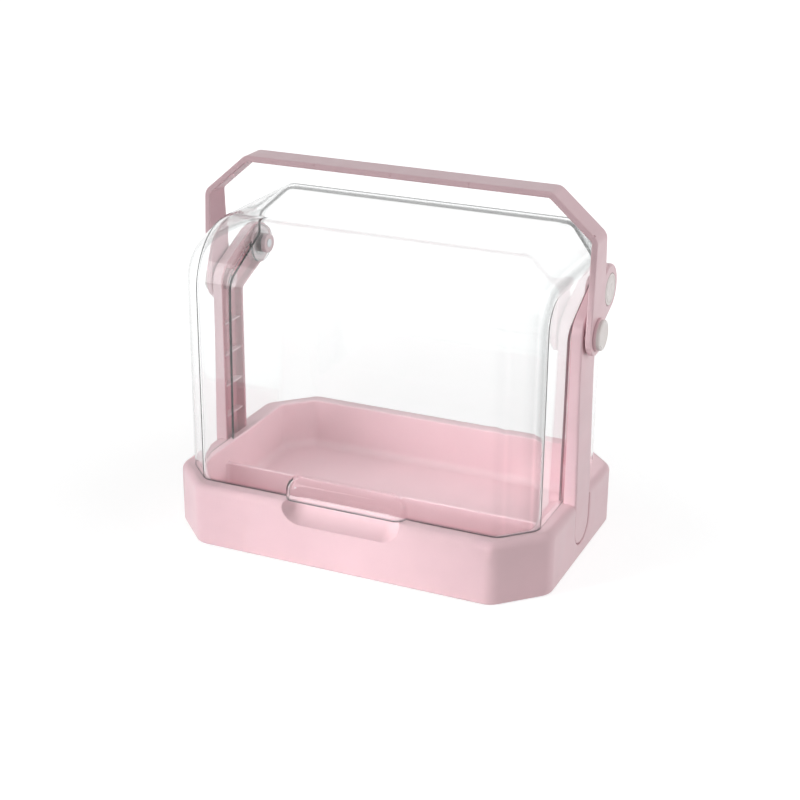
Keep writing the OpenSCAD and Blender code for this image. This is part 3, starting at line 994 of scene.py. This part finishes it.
    def ring(self, y: float, z: float, radius: float, x0: float, x1: float, bore: float) -> Skin:
        """Raised ring inside the channel.

        Args:
            y: Its axis along Y.
            z: Its axis along Z.
            radius: Its outer radius.
            x0: Its free face.
            x1: Its buried face.
            bore: Its bore's radius.

        Returns:
            The closed skin.
        """
        profile = np.array([[x1, bore], [x0 + 0.3, bore], [x0, bore + 0.3], [x0, radius - 0.5],
                            [x0 + 0.15, radius - 0.15], [x0 + 0.5, radius], [x1, radius], [x1, bore]])
        return lathe(profile, y, z)

    def rib(self, z: float) -> Skin:
        """Short rib across the channel, rounded on its free edge.

        Args:
            z: Height of its lower face.

        Returns:
            The closed skin.
        """
        x0, x1, t = self.inner_x + 1.5, self.outer_x - 1.2, self.rib_t
        edge = arc(0, 0, t / 2, 90, 270, 30)
        section = np.concatenate([[[x1, z + t]], edge + [x0 + t / 2, z + t / 2], [[x1, z]]])
        y = np.array([[-self.half_d + 1.2], [self.half_d - 1.2]]) + 0 * section[None, :, 0]
        return tube_skin(np.stack([section[None, :, 0] + 0 * y, y, section[None, :, 1] + 0 * y], axis=-1))

    def cap(self) -> np.ndarray:
        """Profile of the pivot cap: a disc with a rounded edge and a thin ring pressed into its face.

        Returns:
            Places along X and radii.
        """
        return np.array([
            [126.6, 0], [126.6, 10.3], [128.0, 10.3], [128.25, 10.2], [128.35, 9.9], [128.4, 9.0],
            [128.4, 8.6], [128.2, 8.45], [128.2, 8.15], [128.4, 8.0], [128.42, 6], [128.42, 0],
        ])

    def build(self, finishes: Finishes) -> None:
        """Make both uprights with their caps.

        Args:
            finishes: The finishes.
        """
        x, r = self.outer_x, self.cap_r
        seat = np.array([[x - 1.6, 0], [x - 1.6, r], [x - 0.3, r], [x + 0.6, r + 0.7], [x + 3, r + 0.7],
                         [x + 3, 0]])
        skin = carved(self.shell(), [lathe(seat, self.pivot_y, self.pivot_z)]).plus(
            self.ring(self.pivot_y, self.pivot_z, 12.7, self.inner_x + 0.9, x - 2.0, self.pin_bore),
            self.ring(self.pivot_y, self.pivot_z, 12.6, self.inner_x, x - 2.1, 9.3),
            self.ring(0, self.boss_z, 7.05, self.inner_x, x - 2.0, self.pin_bore),
            *[self.rib(z) for z in self.rib_z])
        post = Pair("post", "upright", "pink_moulding", skin, [finishes.pink, finishes.channel_shade], 32)
        skin = lathe(self.cap(), self.pivot_y, self.pivot_z, 56)
        cap = Pair("cap", "pivot_cap", "pale_plastic", skin, [finishes.pale])
        for side in Side:
            post.place(side)
            cap.place(side)


# Covers


@dataclass(frozen=True)
class Cover:
    """Clear shell carried along a spine: cut corners at both sides, flat side panels beyond them."""

    half_w: float
    cut: float
    front_sign: float
    face_y: float
    bend_y: float
    bend_z: float
    bend_r: float
    bottom_z: float
    roof_end_y: float
    side_end_y: float
    seam_low_y: float
    seam_bend: tuple
    bend_end: float = 90.0
    # Painted shade of the clear wall: dark lines along the front and side creases, a faint grey on the
    # chamfer, a dark line at the roof's end and a dark contact line at the foot.
    front_crease_shade: float = 0.05
    side_crease_shade: float = 0.38
    chamfer_tint: float = 0.035
    end_tint: float = 1.0
    wall: float = 1.7
    bevel: float = 0.3
    crease_r: float = 11.0
    pivot_y: float = LID_Y
    pivot_z: float = LID_Z
    side_high_z: float = 176.5
    over_roof_z: float = 215.0
    low_bend_r: float = 12.0
    high_bend_r: float = 6.0
    end_strip: float = 2.6
    foot_tint: float = 1.8

    @property
    def side_depth(self) -> float:
        """Depth at which the flat side panel starts."""
        return self.cut + self.crease_r * math.tan(math.pi / 8) + 0.2

    def spine(self, low: np.ndarray) -> tuple[np.ndarray, np.ndarray]:
        """Middle line of the cover as far as the roof: up the face and round the bend.

        Args:
            low: Heights of the levels on the face, without the bend.

        Returns:
            Points as Y and Z, and outward normals as Y and Z.
        """
        s = self.front_sign
        t = np.radians(np.linspace(0, self.bend_end, 25))
        outward = np.stack([s * np.cos(t), np.sin(t)], axis=-1)
        bend = np.array([self.bend_y, self.bend_z]) + self.bend_r * outward
        face = np.stack([np.full(len(low), self.face_y), low], axis=-1)
        return np.concatenate([face, bend]), np.concatenate([np.tile([s, 0.0], (len(low), 1)), outward])

    def roof(self, depth: np.ndarray, start_y: np.ndarray) -> tuple[np.ndarray, np.ndarray]:
        """Rows of the roof: flat in front of the hinge axis, and an arc about it behind.

        Height at y is the axis' + sqrt(r^2 - max(y - axis, 0)^2), with r the roof's height over the
        axis less the depth. The last row runs slantwise from the roof's end to the side panel's.

        Args:
            depth: Depth of each column below the face.
            start_y: Place of each column along Y where the bend ends.

        Returns:
            Y and Z as rows and columns.
        """
        end_y = self.roof_end_y + (self.side_end_y - self.roof_end_y) * np.minimum(depth / self.cut, 1)
        strip = self.end_strip / abs(self.roof_end_y - float(start_y[len(start_y) // 2]))
        share = np.r_[np.linspace(0, 1 - 1.2 * strip, 5)[1:], 1 - strip, 1.0][:, None]
        y = start_y[None, :] + (end_y - start_y)[None, :] * share
        r = self.bend_z + self.bend_r - self.pivot_z - depth[None, :]
        return y, self.pivot_z + np.sqrt(np.maximum(r**2 - np.maximum(y - self.pivot_y, 0) ** 2, 0))

    def section(self, face_x: np.ndarray) -> tuple[np.ndarray, np.ndarray]:
        """Right half of the section across the spine.

        Args:
            face_x: Columns on the flat face from the middle outwards.

        Returns:
            Places along X with depths below the face, and the painted shade of each: dark lines along the
            creases and a faint grey on the chamfer.
        """
        corners = np.array([[face_x[-1], 0.0], [self.half_w - self.cut, 0], [self.half_w, self.cut],
                            [self.half_w, self.side_depth]])
        path = rounded_path(corners, [self.crease_r] * 2, 6)[1:-1]
        first, second = path[:7], path[7:]
        share = np.array([0.12, 0.3, 0.5, 0.7, 0.88])[:, None]
        chamfer = first[-1] * (1 - share) + second[0] * share
        flat = np.stack([face_x, 0 * face_x], axis=-1)
        points = np.concatenate([flat, first, chamfer, second, corners[-1:]])
        # Painted shade: dark lines that swell to the middle of each crease, and a faint grey across the
        # chamfer.
        swell = np.sin(np.pi * np.linspace(0, 1, 7))
        first, second = (0.2 + 0.8 * swell) * self.front_crease_shade, (0.2 + 0.8 * swell) * self.side_crease_shade
        between = np.array([0.4, 0.15, 0.03, 0, 0]) * self.front_crease_shade
        between += np.array([0, 0, 0.03, 0.15, 0.3]) * self.side_crease_shade + self.chamfer_tint
        return points, np.r_[0 * face_x, first, between, second, 0.0]

    def seam(self) -> np.ndarray:
        """Free edge of the side panel.

        Returns:
            Points as Y and Z, from the bottom to the roof.
        """
        corners = np.array([[self.seam_low_y, self.bottom_z], self.seam_bend,
                            [self.side_end_y, self.side_high_z], [self.side_end_y, self.over_roof_z]])
        return rounded_path(corners, [self.low_bend_r, self.high_bend_r], 10)[:-1]

    def shell(self, low: np.ndarray, face_x: np.ndarray, swell: Callable | None = None) -> Skin:
        """Open outer skin of the cover.

        Points are spine - normal * depth, with X from the section; the side panels are flat faces
        between the section's last column and the seam.

        Args:
            low: Heights of the levels on the face.
            face_x: Columns on the flat face from the middle outwards, starting at 0.
            swell: Function of X and Z that says how far the face stands out, or None.

        Returns:
            The skin, with its faces outwards.
        """
        half, tint = self.section(face_x)
        section = np.concatenate([half[::-1] * (-1, 1), half[1:]])
        tint = np.concatenate([tint[::-1], tint[1:]])
        spine, normal = self.spine(low)
        depth = section[None, :, 1]
        shade = np.zeros((len(spine), 1))
        y = spine[:, None, 0] - normal[:, None, 0] * depth
        z = spine[:, None, 1] - normal[:, None, 1] * depth
        x = np.broadcast_to(section[None, :, 0], y.shape)
        if swell is not None:
            y = y + self.front_sign * swell(x, z) * (normal[:, None, 0] * self.front_sign > 0.999)
            # Painted shade: a dark contact line along the lid's foot, fading out upwards.
            shade = np.maximum(1.0 - (spine[:, 1:] - self.bottom_z) / self.foot_tint, 0)
        roof_y, roof_z = self.roof(section[:, 1], y[-1])
        y, z = np.concatenate([y, roof_y]), np.concatenate([z, roof_z])
        x = np.broadcast_to(section[None, :, 0], y.shape)
        # Painted shade: a dark line along the roof's end rows, weaker towards the sides.
        end = np.zeros((len(roof_y), 1))
        end[-2:] = self.end_tint
        end = end * (1 - 0.7 * np.minimum(section[:, 1] / self.cut, 1))
        shade = np.concatenate([shade + 0 * tint, end])
        grid = np.stack([x, y, z], axis=-1)
        # The outermost columns get no painted shade, because the big flat side panels share their points.
        shade = np.maximum(tint, shade)
        shade[:, [0, -1]] = 0
        skin = grid_skin(grid, tint=shade)
        if self.front_sign > 0:
            skin.faces = [face[::-1] for face in skin.faces]
        panel = self.panel(grid[:, -1, 1:])
        return skin.plus(panel, panel.mirrored())

    def panel(self, edge: np.ndarray) -> Skin:
        """Flat right side panel between the shell's edge and the seam.

        Args:
            edge: The shell's last column as Y and Z, from the bottom to the roof's end.

        Returns:
            The panel's skin, facing right.
        """
        loop = np.concatenate([edge, self.seam()[::-1]])
        after = np.roll(loop, -1, axis=0)
        area = float(np.sum(loop[:, 0] * after[:, 1] - loop[:, 1] * after[:, 0]))
        loop = loop if area > 0 else loop[::-1]
        return loop_cap(np.column_stack([np.full(len(loop), self.half_w), loop]))

    def finish(self, skin: Skin, piece: Piece, finishes: Finishes) -> None:
        """Give the outer skin its wall, edges and finishes, and place it."""
        # The rim finish gives the wall's cut rims a dark grey painted shade.
        dress = [finishes.clear, finishes.rim]
        piece.place(skin, dress, solid=False, sharp=30, wall=self.wall, bevel=self.bevel)


@dataclass(frozen=True)
class FrontLid(Cover):
    """Clear visor with a pull lip at its foot and round ears on the hinge axis."""

    ear_r: float = 14.0
    lip_half: float = 41.0
    lip_h: float = 16.0
    lip_out: float = 6.0
    lip_r: float = 11.0
    lip_side: float = 7.0
    ear_start: float = 163.0

    def seam(self) -> np.ndarray:
        """Free edge of the side panel with the ear on it.

        Returns:
            Points as Y and Z, from the bottom to the roof.
        """
        end = 360 + math.degrees(math.acos((self.side_end_y - self.pivot_y) / self.ear_r))
        ear = arc(self.pivot_y, self.pivot_z, self.ear_r, self.ear_start, end, 6)
        corners = np.array([[self.seam_low_y, self.bottom_z], self.seam_bend, ear[0]])
        return np.concatenate([rounded_path(corners, [self.low_bend_r], 10)[:-1], ear])

    def lip(self, x: np.ndarray, z: np.ndarray) -> np.ndarray:
        """How far the pull lip stands out of the face.

        Up the face it is out * sqrt(1 - (h / height)^2); towards the outline of the lip, a rounded
        rectangle open below, it falls off as a quarter circle over the side's width.

        Args:
            x: Places along X.
            z: Heights.

        Returns:
            Distances.
        """
        h = np.clip((z - self.bottom_z) / self.lip_h, 0, 1)
        dx = np.abs(x) - (self.lip_half - self.lip_r)
        dz = z - (self.bottom_z + self.lip_h - self.lip_r)
        corner = np.hypot(np.maximum(dx, 0), np.maximum(dz, 0)) + np.minimum(np.maximum(dx, dz), 0)
        inside = np.clip((self.lip_r - corner) / self.lip_side, 0, 1)
        rise = np.sqrt(1 - (1 - inside) ** 2)
        return self.lip_out * np.minimum(np.sqrt(1 - h**2) + 0 * x, 1) * rise

    def build(self, finishes: Finishes) -> None:
        """Make the lid.

        Args:
            finishes: The finishes.
        """
        lip_z, lip_x = np.linspace(43.4, 58, 25), np.linspace(30, 42, 21)
        low = np.r_[42.0, 42.4, 42.9, lip_z, 60, 70, 90, 110, 130, 150]
        face_x = np.r_[0.0, 8, 16, 23, 28, lip_x, 46, 56, 70, 84, 94]
        piece = Piece("lid_shell", "front_lid", Body.LID, "clear_plastic")
        self.finish(self.shell(low, face_x, self.lip), piece, finishes)


@dataclass(frozen=True)
class RearCover(Cover):
    """Clear fixed cover, one size smaller than the lid."""

    def build(self, finishes: Finishes) -> None:
        """Make the cover.

        Args:
            finishes: The finishes.
        """
        low = np.array([40.8, 41.9, 43, 60, 90, 120, 150])
        face_x = np.array([0.0, 20, 40, 60, 80, 92])
        piece = Piece("rear_shell", "rear_cover", Body.BASE, "clear_plastic")
        self.finish(self.shell(low, face_x), piece, finishes)


@dataclass(frozen=True)
class PivotNuts:
    """Round nuts on the lid's pivot screws, inside the rear cover."""

    x0: float = 112.4
    x1: float = 115.4
    radius: float = 7.0
    bore: float = 3.05
    pivot_y: float = LID_Y
    pivot_z: float = LID_Z

    def build(self, finishes: Finishes) -> None:
        """Make both nuts.

        Args:
            finishes: The finishes.
        """
        x0, x1, r, b = self.x0, self.x1, self.radius, self.bore
        profile = np.array([[x1, b], [x0 + 0.5, b], [x0 + 0.2, b + 0.3], [x0 + 0.2, 4.6], [x0, 4.9],
                            [x0, r - 0.6], [x0 + 0.18, r - 0.18], [x0 + 0.6, r], [x1, r], [x1, b]])
        skin = lathe(profile, self.pivot_y, self.pivot_z)
        nut = Pair("nut", "lid_pivot_nut", "nylon", skin, [finishes.nylon])
        for side in Side:
            nut.place(side)


# Handle


@dataclass(frozen=True)
class Handle:
    """Flat band bent round three sides, with round ends on two pivots."""

    outer_x: float = 133.4
    shoulder_z: float = 213.8
    grip_x: float = 103.3
    bend_r: float = 7.5
    top_z: float = 240.0
    pivot_z: float = HANDLE_Z
    thickness: float = 4.0
    half_d: float = 9.8
    end_r: float = 13.4
    edge_r: float = 1.1
    mark_x: tuple = (-53.6, -1.4, 50.7)
    mark_deep: float = 0.5
    mark_half: float = 0.42
    mark_low: float = 2.6
    pin_in: float = 2.6
    pin_z: float = 216.4
    pin_r: float = 0.7
    pin_deep: float = 2.2

    def half_profile(self, width: np.ndarray) -> tuple[np.ndarray, np.ndarray]:
        """Half of the band's section, from the middle of its outer face to that of its inner face.

        Args:
            width: Half width at each station.

        Returns:
            Distances from the middle as stations and points, and depths below the outer face.
        """
        t = self.thickness
        a = np.radians(np.linspace(0, 90, 6))
        across, deep = self.edge_r * (1 - np.sin(a)), self.edge_r * (1 - np.cos(a))
        base = np.r_[0.0, 0.45, 0.85, np.ones(13), 0.85, 0.45, 0.0]
        drop = np.r_[np.zeros(3), across, 0.0, across[::-1], np.zeros(3)]
        down = np.r_[np.zeros(3), deep, t / 2, t - deep[::-1], t, t, t]
        return width[:, None] * base[None, :] - drop[None, :], down

    def lines(self) -> list:
        """Lines of the band's outer and inner faces from the right pivot over the grip to the left one.

        The inner corners lie where lines at the thickness inside the outer ones meet. The marks'
        places come in between along the grip.

        Returns:
            The two lines as X and Z.
        """
        t, x, top = self.thickness, self.outer_x, self.top_z
        run, rise = x - self.grip_x, top - self.shoulder_z
        slope = math.hypot(run, rise)
        side_in = self.shoulder_z + t * (rise - slope) / run
        grip_in = x - (rise - t + t * slope / run) * run / rise
        outer = np.array([[x, self.pivot_z], [x, self.shoulder_z], [self.grip_x, top], [0, top]])
        inner = np.array([[x - t, self.pivot_z], [x - t, side_in], [grip_in, top - t], [0, top - t]])
        outer = rounded_path(outer, [self.bend_r] * 2, 9)[:-1]
        inner = rounded_path(inner, [self.bend_r - t] * 2, 9)[:-1]
        near = np.array([-1.4, -0.8, -0.45, -0.2, 0, 0.2, 0.45, 0.8, 1.4])
        marks = np.add.outer(np.array(self.mark_x), near).ravel()
        marks = -np.sort(-np.r_[marks, -80.0, -30, 25, 80])
        share = ((outer[-1, 0] - marks) / (2 * outer[-1, 0]))[:, None]
        return [np.concatenate([p, p[-1] * (1 - share) + p[-1] * (-1, 1) * share, (p * (-1, 1))[::-1]])
                for p in (outer, inner)]

    def band(self) -> Skin:
        """Closed loops carried round the band: outer line + (inner - outer) * depth / thickness.

        A mark is a dent in the front edge of the grip: depth exp(-(distance / half width)^2).

        Returns:
            The skin, open at both ends, with the inner face in the second finish, a darker pink as
            painted shade.
        """
        t = self.thickness
        outer, inner = self.lines()
        width = np.interp(outer[:, 1], [self.pivot_z, self.shoulder_z], [self.end_r, self.half_d])
        half, down = self.half_profile(width)
        across = np.concatenate([half, -half[:, -2:0:-1]], axis=1)
        down = np.concatenate([down, down[-2:0:-1]])
        away = (outer[:, :1] - np.array(self.mark_x)) / self.mark_half
        dent = self.mark_deep * np.sum(np.exp(-(away**2)), axis=1) * (outer[:, 1] > self.top_z - 1)
        front = (across < -0.9 * width[:, None]) * (down < self.mark_low)[None, :]
        across = across + dent[:, None] * front
        share = (down / t)[None, :]
        x = outer[:, :1] * (1 - share) + inner[:, :1] * share
        z = outer[:, 1:] * (1 - share) + inner[:, 1:] * share
        skin = grid_skin(np.stack([x, across, z], axis=-1), closed=True)
        # The inner faces take the darker pink as painted shade.
        skin.slots.reshape(-1, len(down))[:, (down == t) & (np.roll(down, -1) == t)] = 1
        return skin

    def end(self) -> Skin:
        """Round end of the right arm: the half section swung half a turn about the pivot.

        Returns:
            The skin, open where the band meets it.
        """
        half, down = self.half_profile(np.array([self.end_r]))
        t = np.radians(np.linspace(0, 180, 31))[:, None]
        x = np.broadcast_to(self.outer_x - down[None, :], (31, len(down)))
        skin = grid_skin(np.stack([x, half * np.cos(t), self.pivot_z - half * np.sin(t)], axis=-1))
        # The end's inner face takes the darker pink as painted shade.
        skin.slots.reshape(30, -1)[:, -3:] = 1
        return skin

    def pin_hole(self) -> Skin:
        """Thin rod along Y that cuts a small hole into the front edge of the right arm.

        Returns:
            The closed cutter.
        """
        turn = np.radians(np.arange(0, 360, 22.5))[None, :]
        y = np.array([-self.half_d - 2.0, self.pin_deep - self.half_d])[:, None] + 0 * turn
        x = self.outer_x - self.pin_in + self.pin_r * np.cos(turn) + 0 * y
        return tube_skin(np.stack([x, y, self.pin_z + self.pin_r * np.sin(turn) + 0 * y], axis=-1))

    def knob(self) -> tuple[np.ndarray, np.ndarray]:
        """Profile of a knob: a pink collar, a step, and a pale head with a shallow dish.

        Returns:
            Places along X with radii, and the finish of each stretch.
        """
        collar = [[133.6, 0], [133.6, 10.4], [134.8, 10.4], [135.1, 10.25], [135.2, 10]]
        head = [[135.2, 9.7], [136.5, 9.7], [136.9, 9.55], [137.2, 9.2], [137.35, 8.6], [137.4, 7.8],
                [137.35, 5.8], [137.2, 3], [137.15, 0]]
        return np.array(collar + head), np.repeat([1, 0], [len(collar), len(head) - 1])

    def build(self, finishes: Finishes) -> None:
        """Make the handle and its knobs.

        Args:
            finishes: The finishes.
        """
        skin = carved(self.band().plus(self.end(), self.end().mirrored()), [self.pin_hole()])
        piece = Piece("carry_band", "handle", Body.HANDLE, "pink_moulding")
        piece.place(skin, [finishes.pink, finishes.deep], sharp=32)
        profile, slots = self.knob()
        skin = lathe(profile, 0, self.pivot_z, 64, slots)
        knob = Pair("knob", "handle_knob", "pale_plastic", skin, [finishes.pale, finishes.pink])
        profile = np.array([[128.2, 3.1], [128.2, 8.8], [128.4, 9], [129.1, 9], [129.3, 8.8],
                            [129.3, 3.1], [128.2, 3.1]])
        skin = lathe(profile, 0, self.pivot_z)
        # The washers take the darker pink as painted shade of the gap between arm and upright.
        washer = Pair("washer", "handle_washer", "nylon", skin, [finishes.deep])
        for side in Side:
            knob.place(side)
            washer.place(side)


# Stage


@dataclass(frozen=True)
class Lamp:
    """Soft square lamp that looks at a point."""

    name: str
    place: tuple
    size: float
    watts: float
    spread: float = 180.0
    target: tuple = (0.0, 0.0, 0.1)
    mirrored: bool = True

    def hang(self) -> None:
        """Add the lamp to the scene."""
        light = bpy.data.lights.new(self.name, "AREA")
        light.size = self.size
        light.energy = self.watts
        light.spread = math.radians(self.spread)
        item = bpy.data.objects.new(self.name, light)
        bpy.context.scene.collection.objects.link(item)
        item.location = self.place
        item.visible_glossy = self.mirrored
        line = Vector(self.target) - Vector(self.place)
        item.rotation_euler = line.to_track_quat("-Z", "Y").to_euler()


@dataclass(frozen=True)
class Studio:
    """White floor and surroundings, soft lamps and the photograph's camera."""

    azimuth: float = 23.749
    elevation: float = 22.068
    roll: float = 0.492
    distance: float = 1.065292
    target: tuple = (0.015195, -0.029497, 0.099574)
    focal: float = 1685.841
    image: float = 800.0
    sensor: float = 36.0
    ambient: float = 0.25
    floor_half: float = 4.0
    floor_glow: float = 0.8
    glow_near: float = 0.2
    glow_far: float = 0.6

    def two_ways(self, sheet: NodeSheet, lit: bpy.types.Node, seen: bpy.types.Node) -> bpy.types.Node:
        """Mix of two shaders by the kind of ray.

        Args:
            sheet: Sheet that the nodes go on.
            lit: Shader for the rays that light things.
            seen: Shader for camera, glossy and transmission rays.

        Returns:
            The mixing node.
        """
        path = sheet.add("ShaderNodeLightPath").outputs
        share = path["Is Camera Ray"]
        for ray in ("Is Glossy Ray", "Is Transmission Ray"):
            share = sheet.add("ShaderNodeMath", {0: share, 1: path[ray]}, operation="MAXIMUM").outputs[0]
        return sheet.add("ShaderNodeMixShader", {0: share, 1: lit.outputs[0], 2: seen.outputs[0]})

    def surround(self) -> None:
        """White world for what is seen, and a plain level of light for what is lit."""
        world = bpy.data.worlds.new("studio")
        world.use_nodes = True
        sheet = NodeSheet(world.node_tree)
        lit = sheet.add("ShaderNodeBackground", {"Color": (1, 1, 1, 1), "Strength": self.ambient})
        seen = sheet.add("ShaderNodeBackground", {"Color": (1, 1, 1, 1), "Strength": 1.0})
        sheet.show(self.two_ways(sheet, lit, seen), "ShaderNodeOutputWorld")
        bpy.context.scene.world = world

    def floor(self) -> None:
        """Pale floor that shows white with the object's shadow on it."""
        n = np.linspace(-self.floor_half, self.floor_half, 9)
        x, y = np.meshgrid(n, n)
        grid = np.stack([x, y, np.zeros_like(x)], axis=-1) / MM
        item = linked("floor", plain_mesh("floor", grid_skin(grid), False))
        material, sheet, where = NodeSheet.of_material("floor")
        pale = sheet.blend(sheet.noise(where, 2, 1), (0.80, 0.80, 0.80), (0.82, 0.82, 0.82))
        matt = sheet.add("ShaderNodeBsdfDiffuse", {"Color": pale})
        faint = sheet.add("ShaderNodeBsdfDiffuse", {"Color": (0.35, 0.35, 0.35, 1)})
        far = sheet.add("ShaderNodeVectorMath", {0: where}, operation="LENGTH").outputs["Value"]
        strength = sheet.add("ShaderNodeMapRange", {
            "Value": far, "From Min": self.glow_near, "From Max": self.glow_far,
            "To Min": self.floor_glow, "To Max": 1.0,
        })
        glow = sheet.add("ShaderNodeEmission", {"Color": (1, 1, 1, 1), "Strength": strength.outputs[0]})
        seen = sheet.add("ShaderNodeAddShader", {0: faint.outputs[0], 1: glow.outputs[0]})
        sheet.show(self.two_ways(sheet, matt, seen))
        item.data.materials.append(material)

    def camera(self) -> None:
        """Camera at the photograph's angle.

        It looks along -back, with back = (sin a cos e, -cos a cos e, sin e), and is rolled about it.
        """
        a, e, r = (math.radians(v) for v in (self.azimuth, self.elevation, self.roll))
        back = Vector((math.sin(a) * math.cos(e), -math.cos(a) * math.cos(e), math.sin(e)))
        right = (-back).cross(Vector((0, 0, 1))).normalized()
        up = right.cross(-back)
        right, up = right * math.cos(r) + up * math.sin(r), up * math.cos(r) - right * math.sin(r)
        lens = bpy.data.cameras.new("camera")
        lens.sensor_width = self.sensor
        lens.lens = self.sensor * self.focal / self.image
        item = bpy.data.objects.new("camera", lens)
        bpy.context.scene.collection.objects.link(item)
        turn = Matrix((right, up, back)).transposed().to_4x4()
        item.matrix_world = Matrix.Translation(Vector(self.target) + back * self.distance) @ turn
        bpy.context.scene.camera = item

    def build(self) -> None:
        """Set the whole stage."""
        bpy.context.scene.view_settings.view_transform = "Standard"
        self.surround()
        self.floor()
        self.camera()
        Lamp("key", (-1.75, -1.85, 0.95), 1.5, 23.0, mirrored=False).hang()
        front = (0.015, -0.09, -0.005)
        Lamp("low", (-0.7, -0.95, 0.28), 0.14, 0.103, 17.0, front, mirrored=False).hang()
        Lamp("side", (1.7, 0.3, 0.6), 1.4, 12.5, mirrored=False).hang()
        Lamp("top", (0.0, 0.1, 2.0), 1.6, 4.0).hang()


def dress_carried_nodes(finishes: Finishes) -> None:
    """Give the CAD nodes that stay their finishes.

    Args:
        finishes: The finishes.
    """
    steel = finishes.steel
    chosen = {"bottom_plate": finishes.deep, "plate_screws": steel, "foot_screws": steel}
    for side in Side:
        chosen[f"lid_pivot_screw_{side.word}"] = steel
        chosen[f"handle_screw_{side.word}"] = steel
        chosen[f"lid_friction_washer_{side.word}"] = finishes.nylon
    for node, finish in chosen.items():
        item = bpy.data.objects[node]
        if not item.material_slots:
            item.data.materials.append(finish)
        for slot in item.material_slots:
            slot.material = finish


def main() -> None:
    """Build the organizer piece by piece and set the stage."""
    logging.basicConfig(level=logging.INFO, format="%(name)s: %(message)s")
    finishes = Finishes()
    Studio().build()
    TrayBase().build(finishes)
    Upright().build(finishes)
    FrontLid(
        half_w=120.4, cut=19.7, front_sign=-1.0, face_y=-77.9, bend_y=-35.9, bend_z=168.0, bend_r=42.0,
        bottom_z=42.0, roof_end_y=48.0, side_end_y=38.0, seam_low_y=-7.5, seam_bend=(-7.5, 154.5),
    ).build(finishes)
    RearCover(
        half_w=117.6, cut=18.06, front_sign=1.0, face_y=77.9, bend_y=LID_Y, bend_z=LID_Z, bend_r=38.7,
        bottom_z=40.8, roof_end_y=42.0, side_end_y=33.5, seam_low_y=-11.5, seam_bend=(-9.5, 153.5),
        bend_end=79.0, front_crease_shade=0.0, side_crease_shade=0.04, chamfer_tint=0.0,
    ).build(finishes)
    PivotNuts().build(finishes)
    Handle().build(finishes)
    dress_carried_nodes(finishes)


if __name__ == "__main__":
    main()
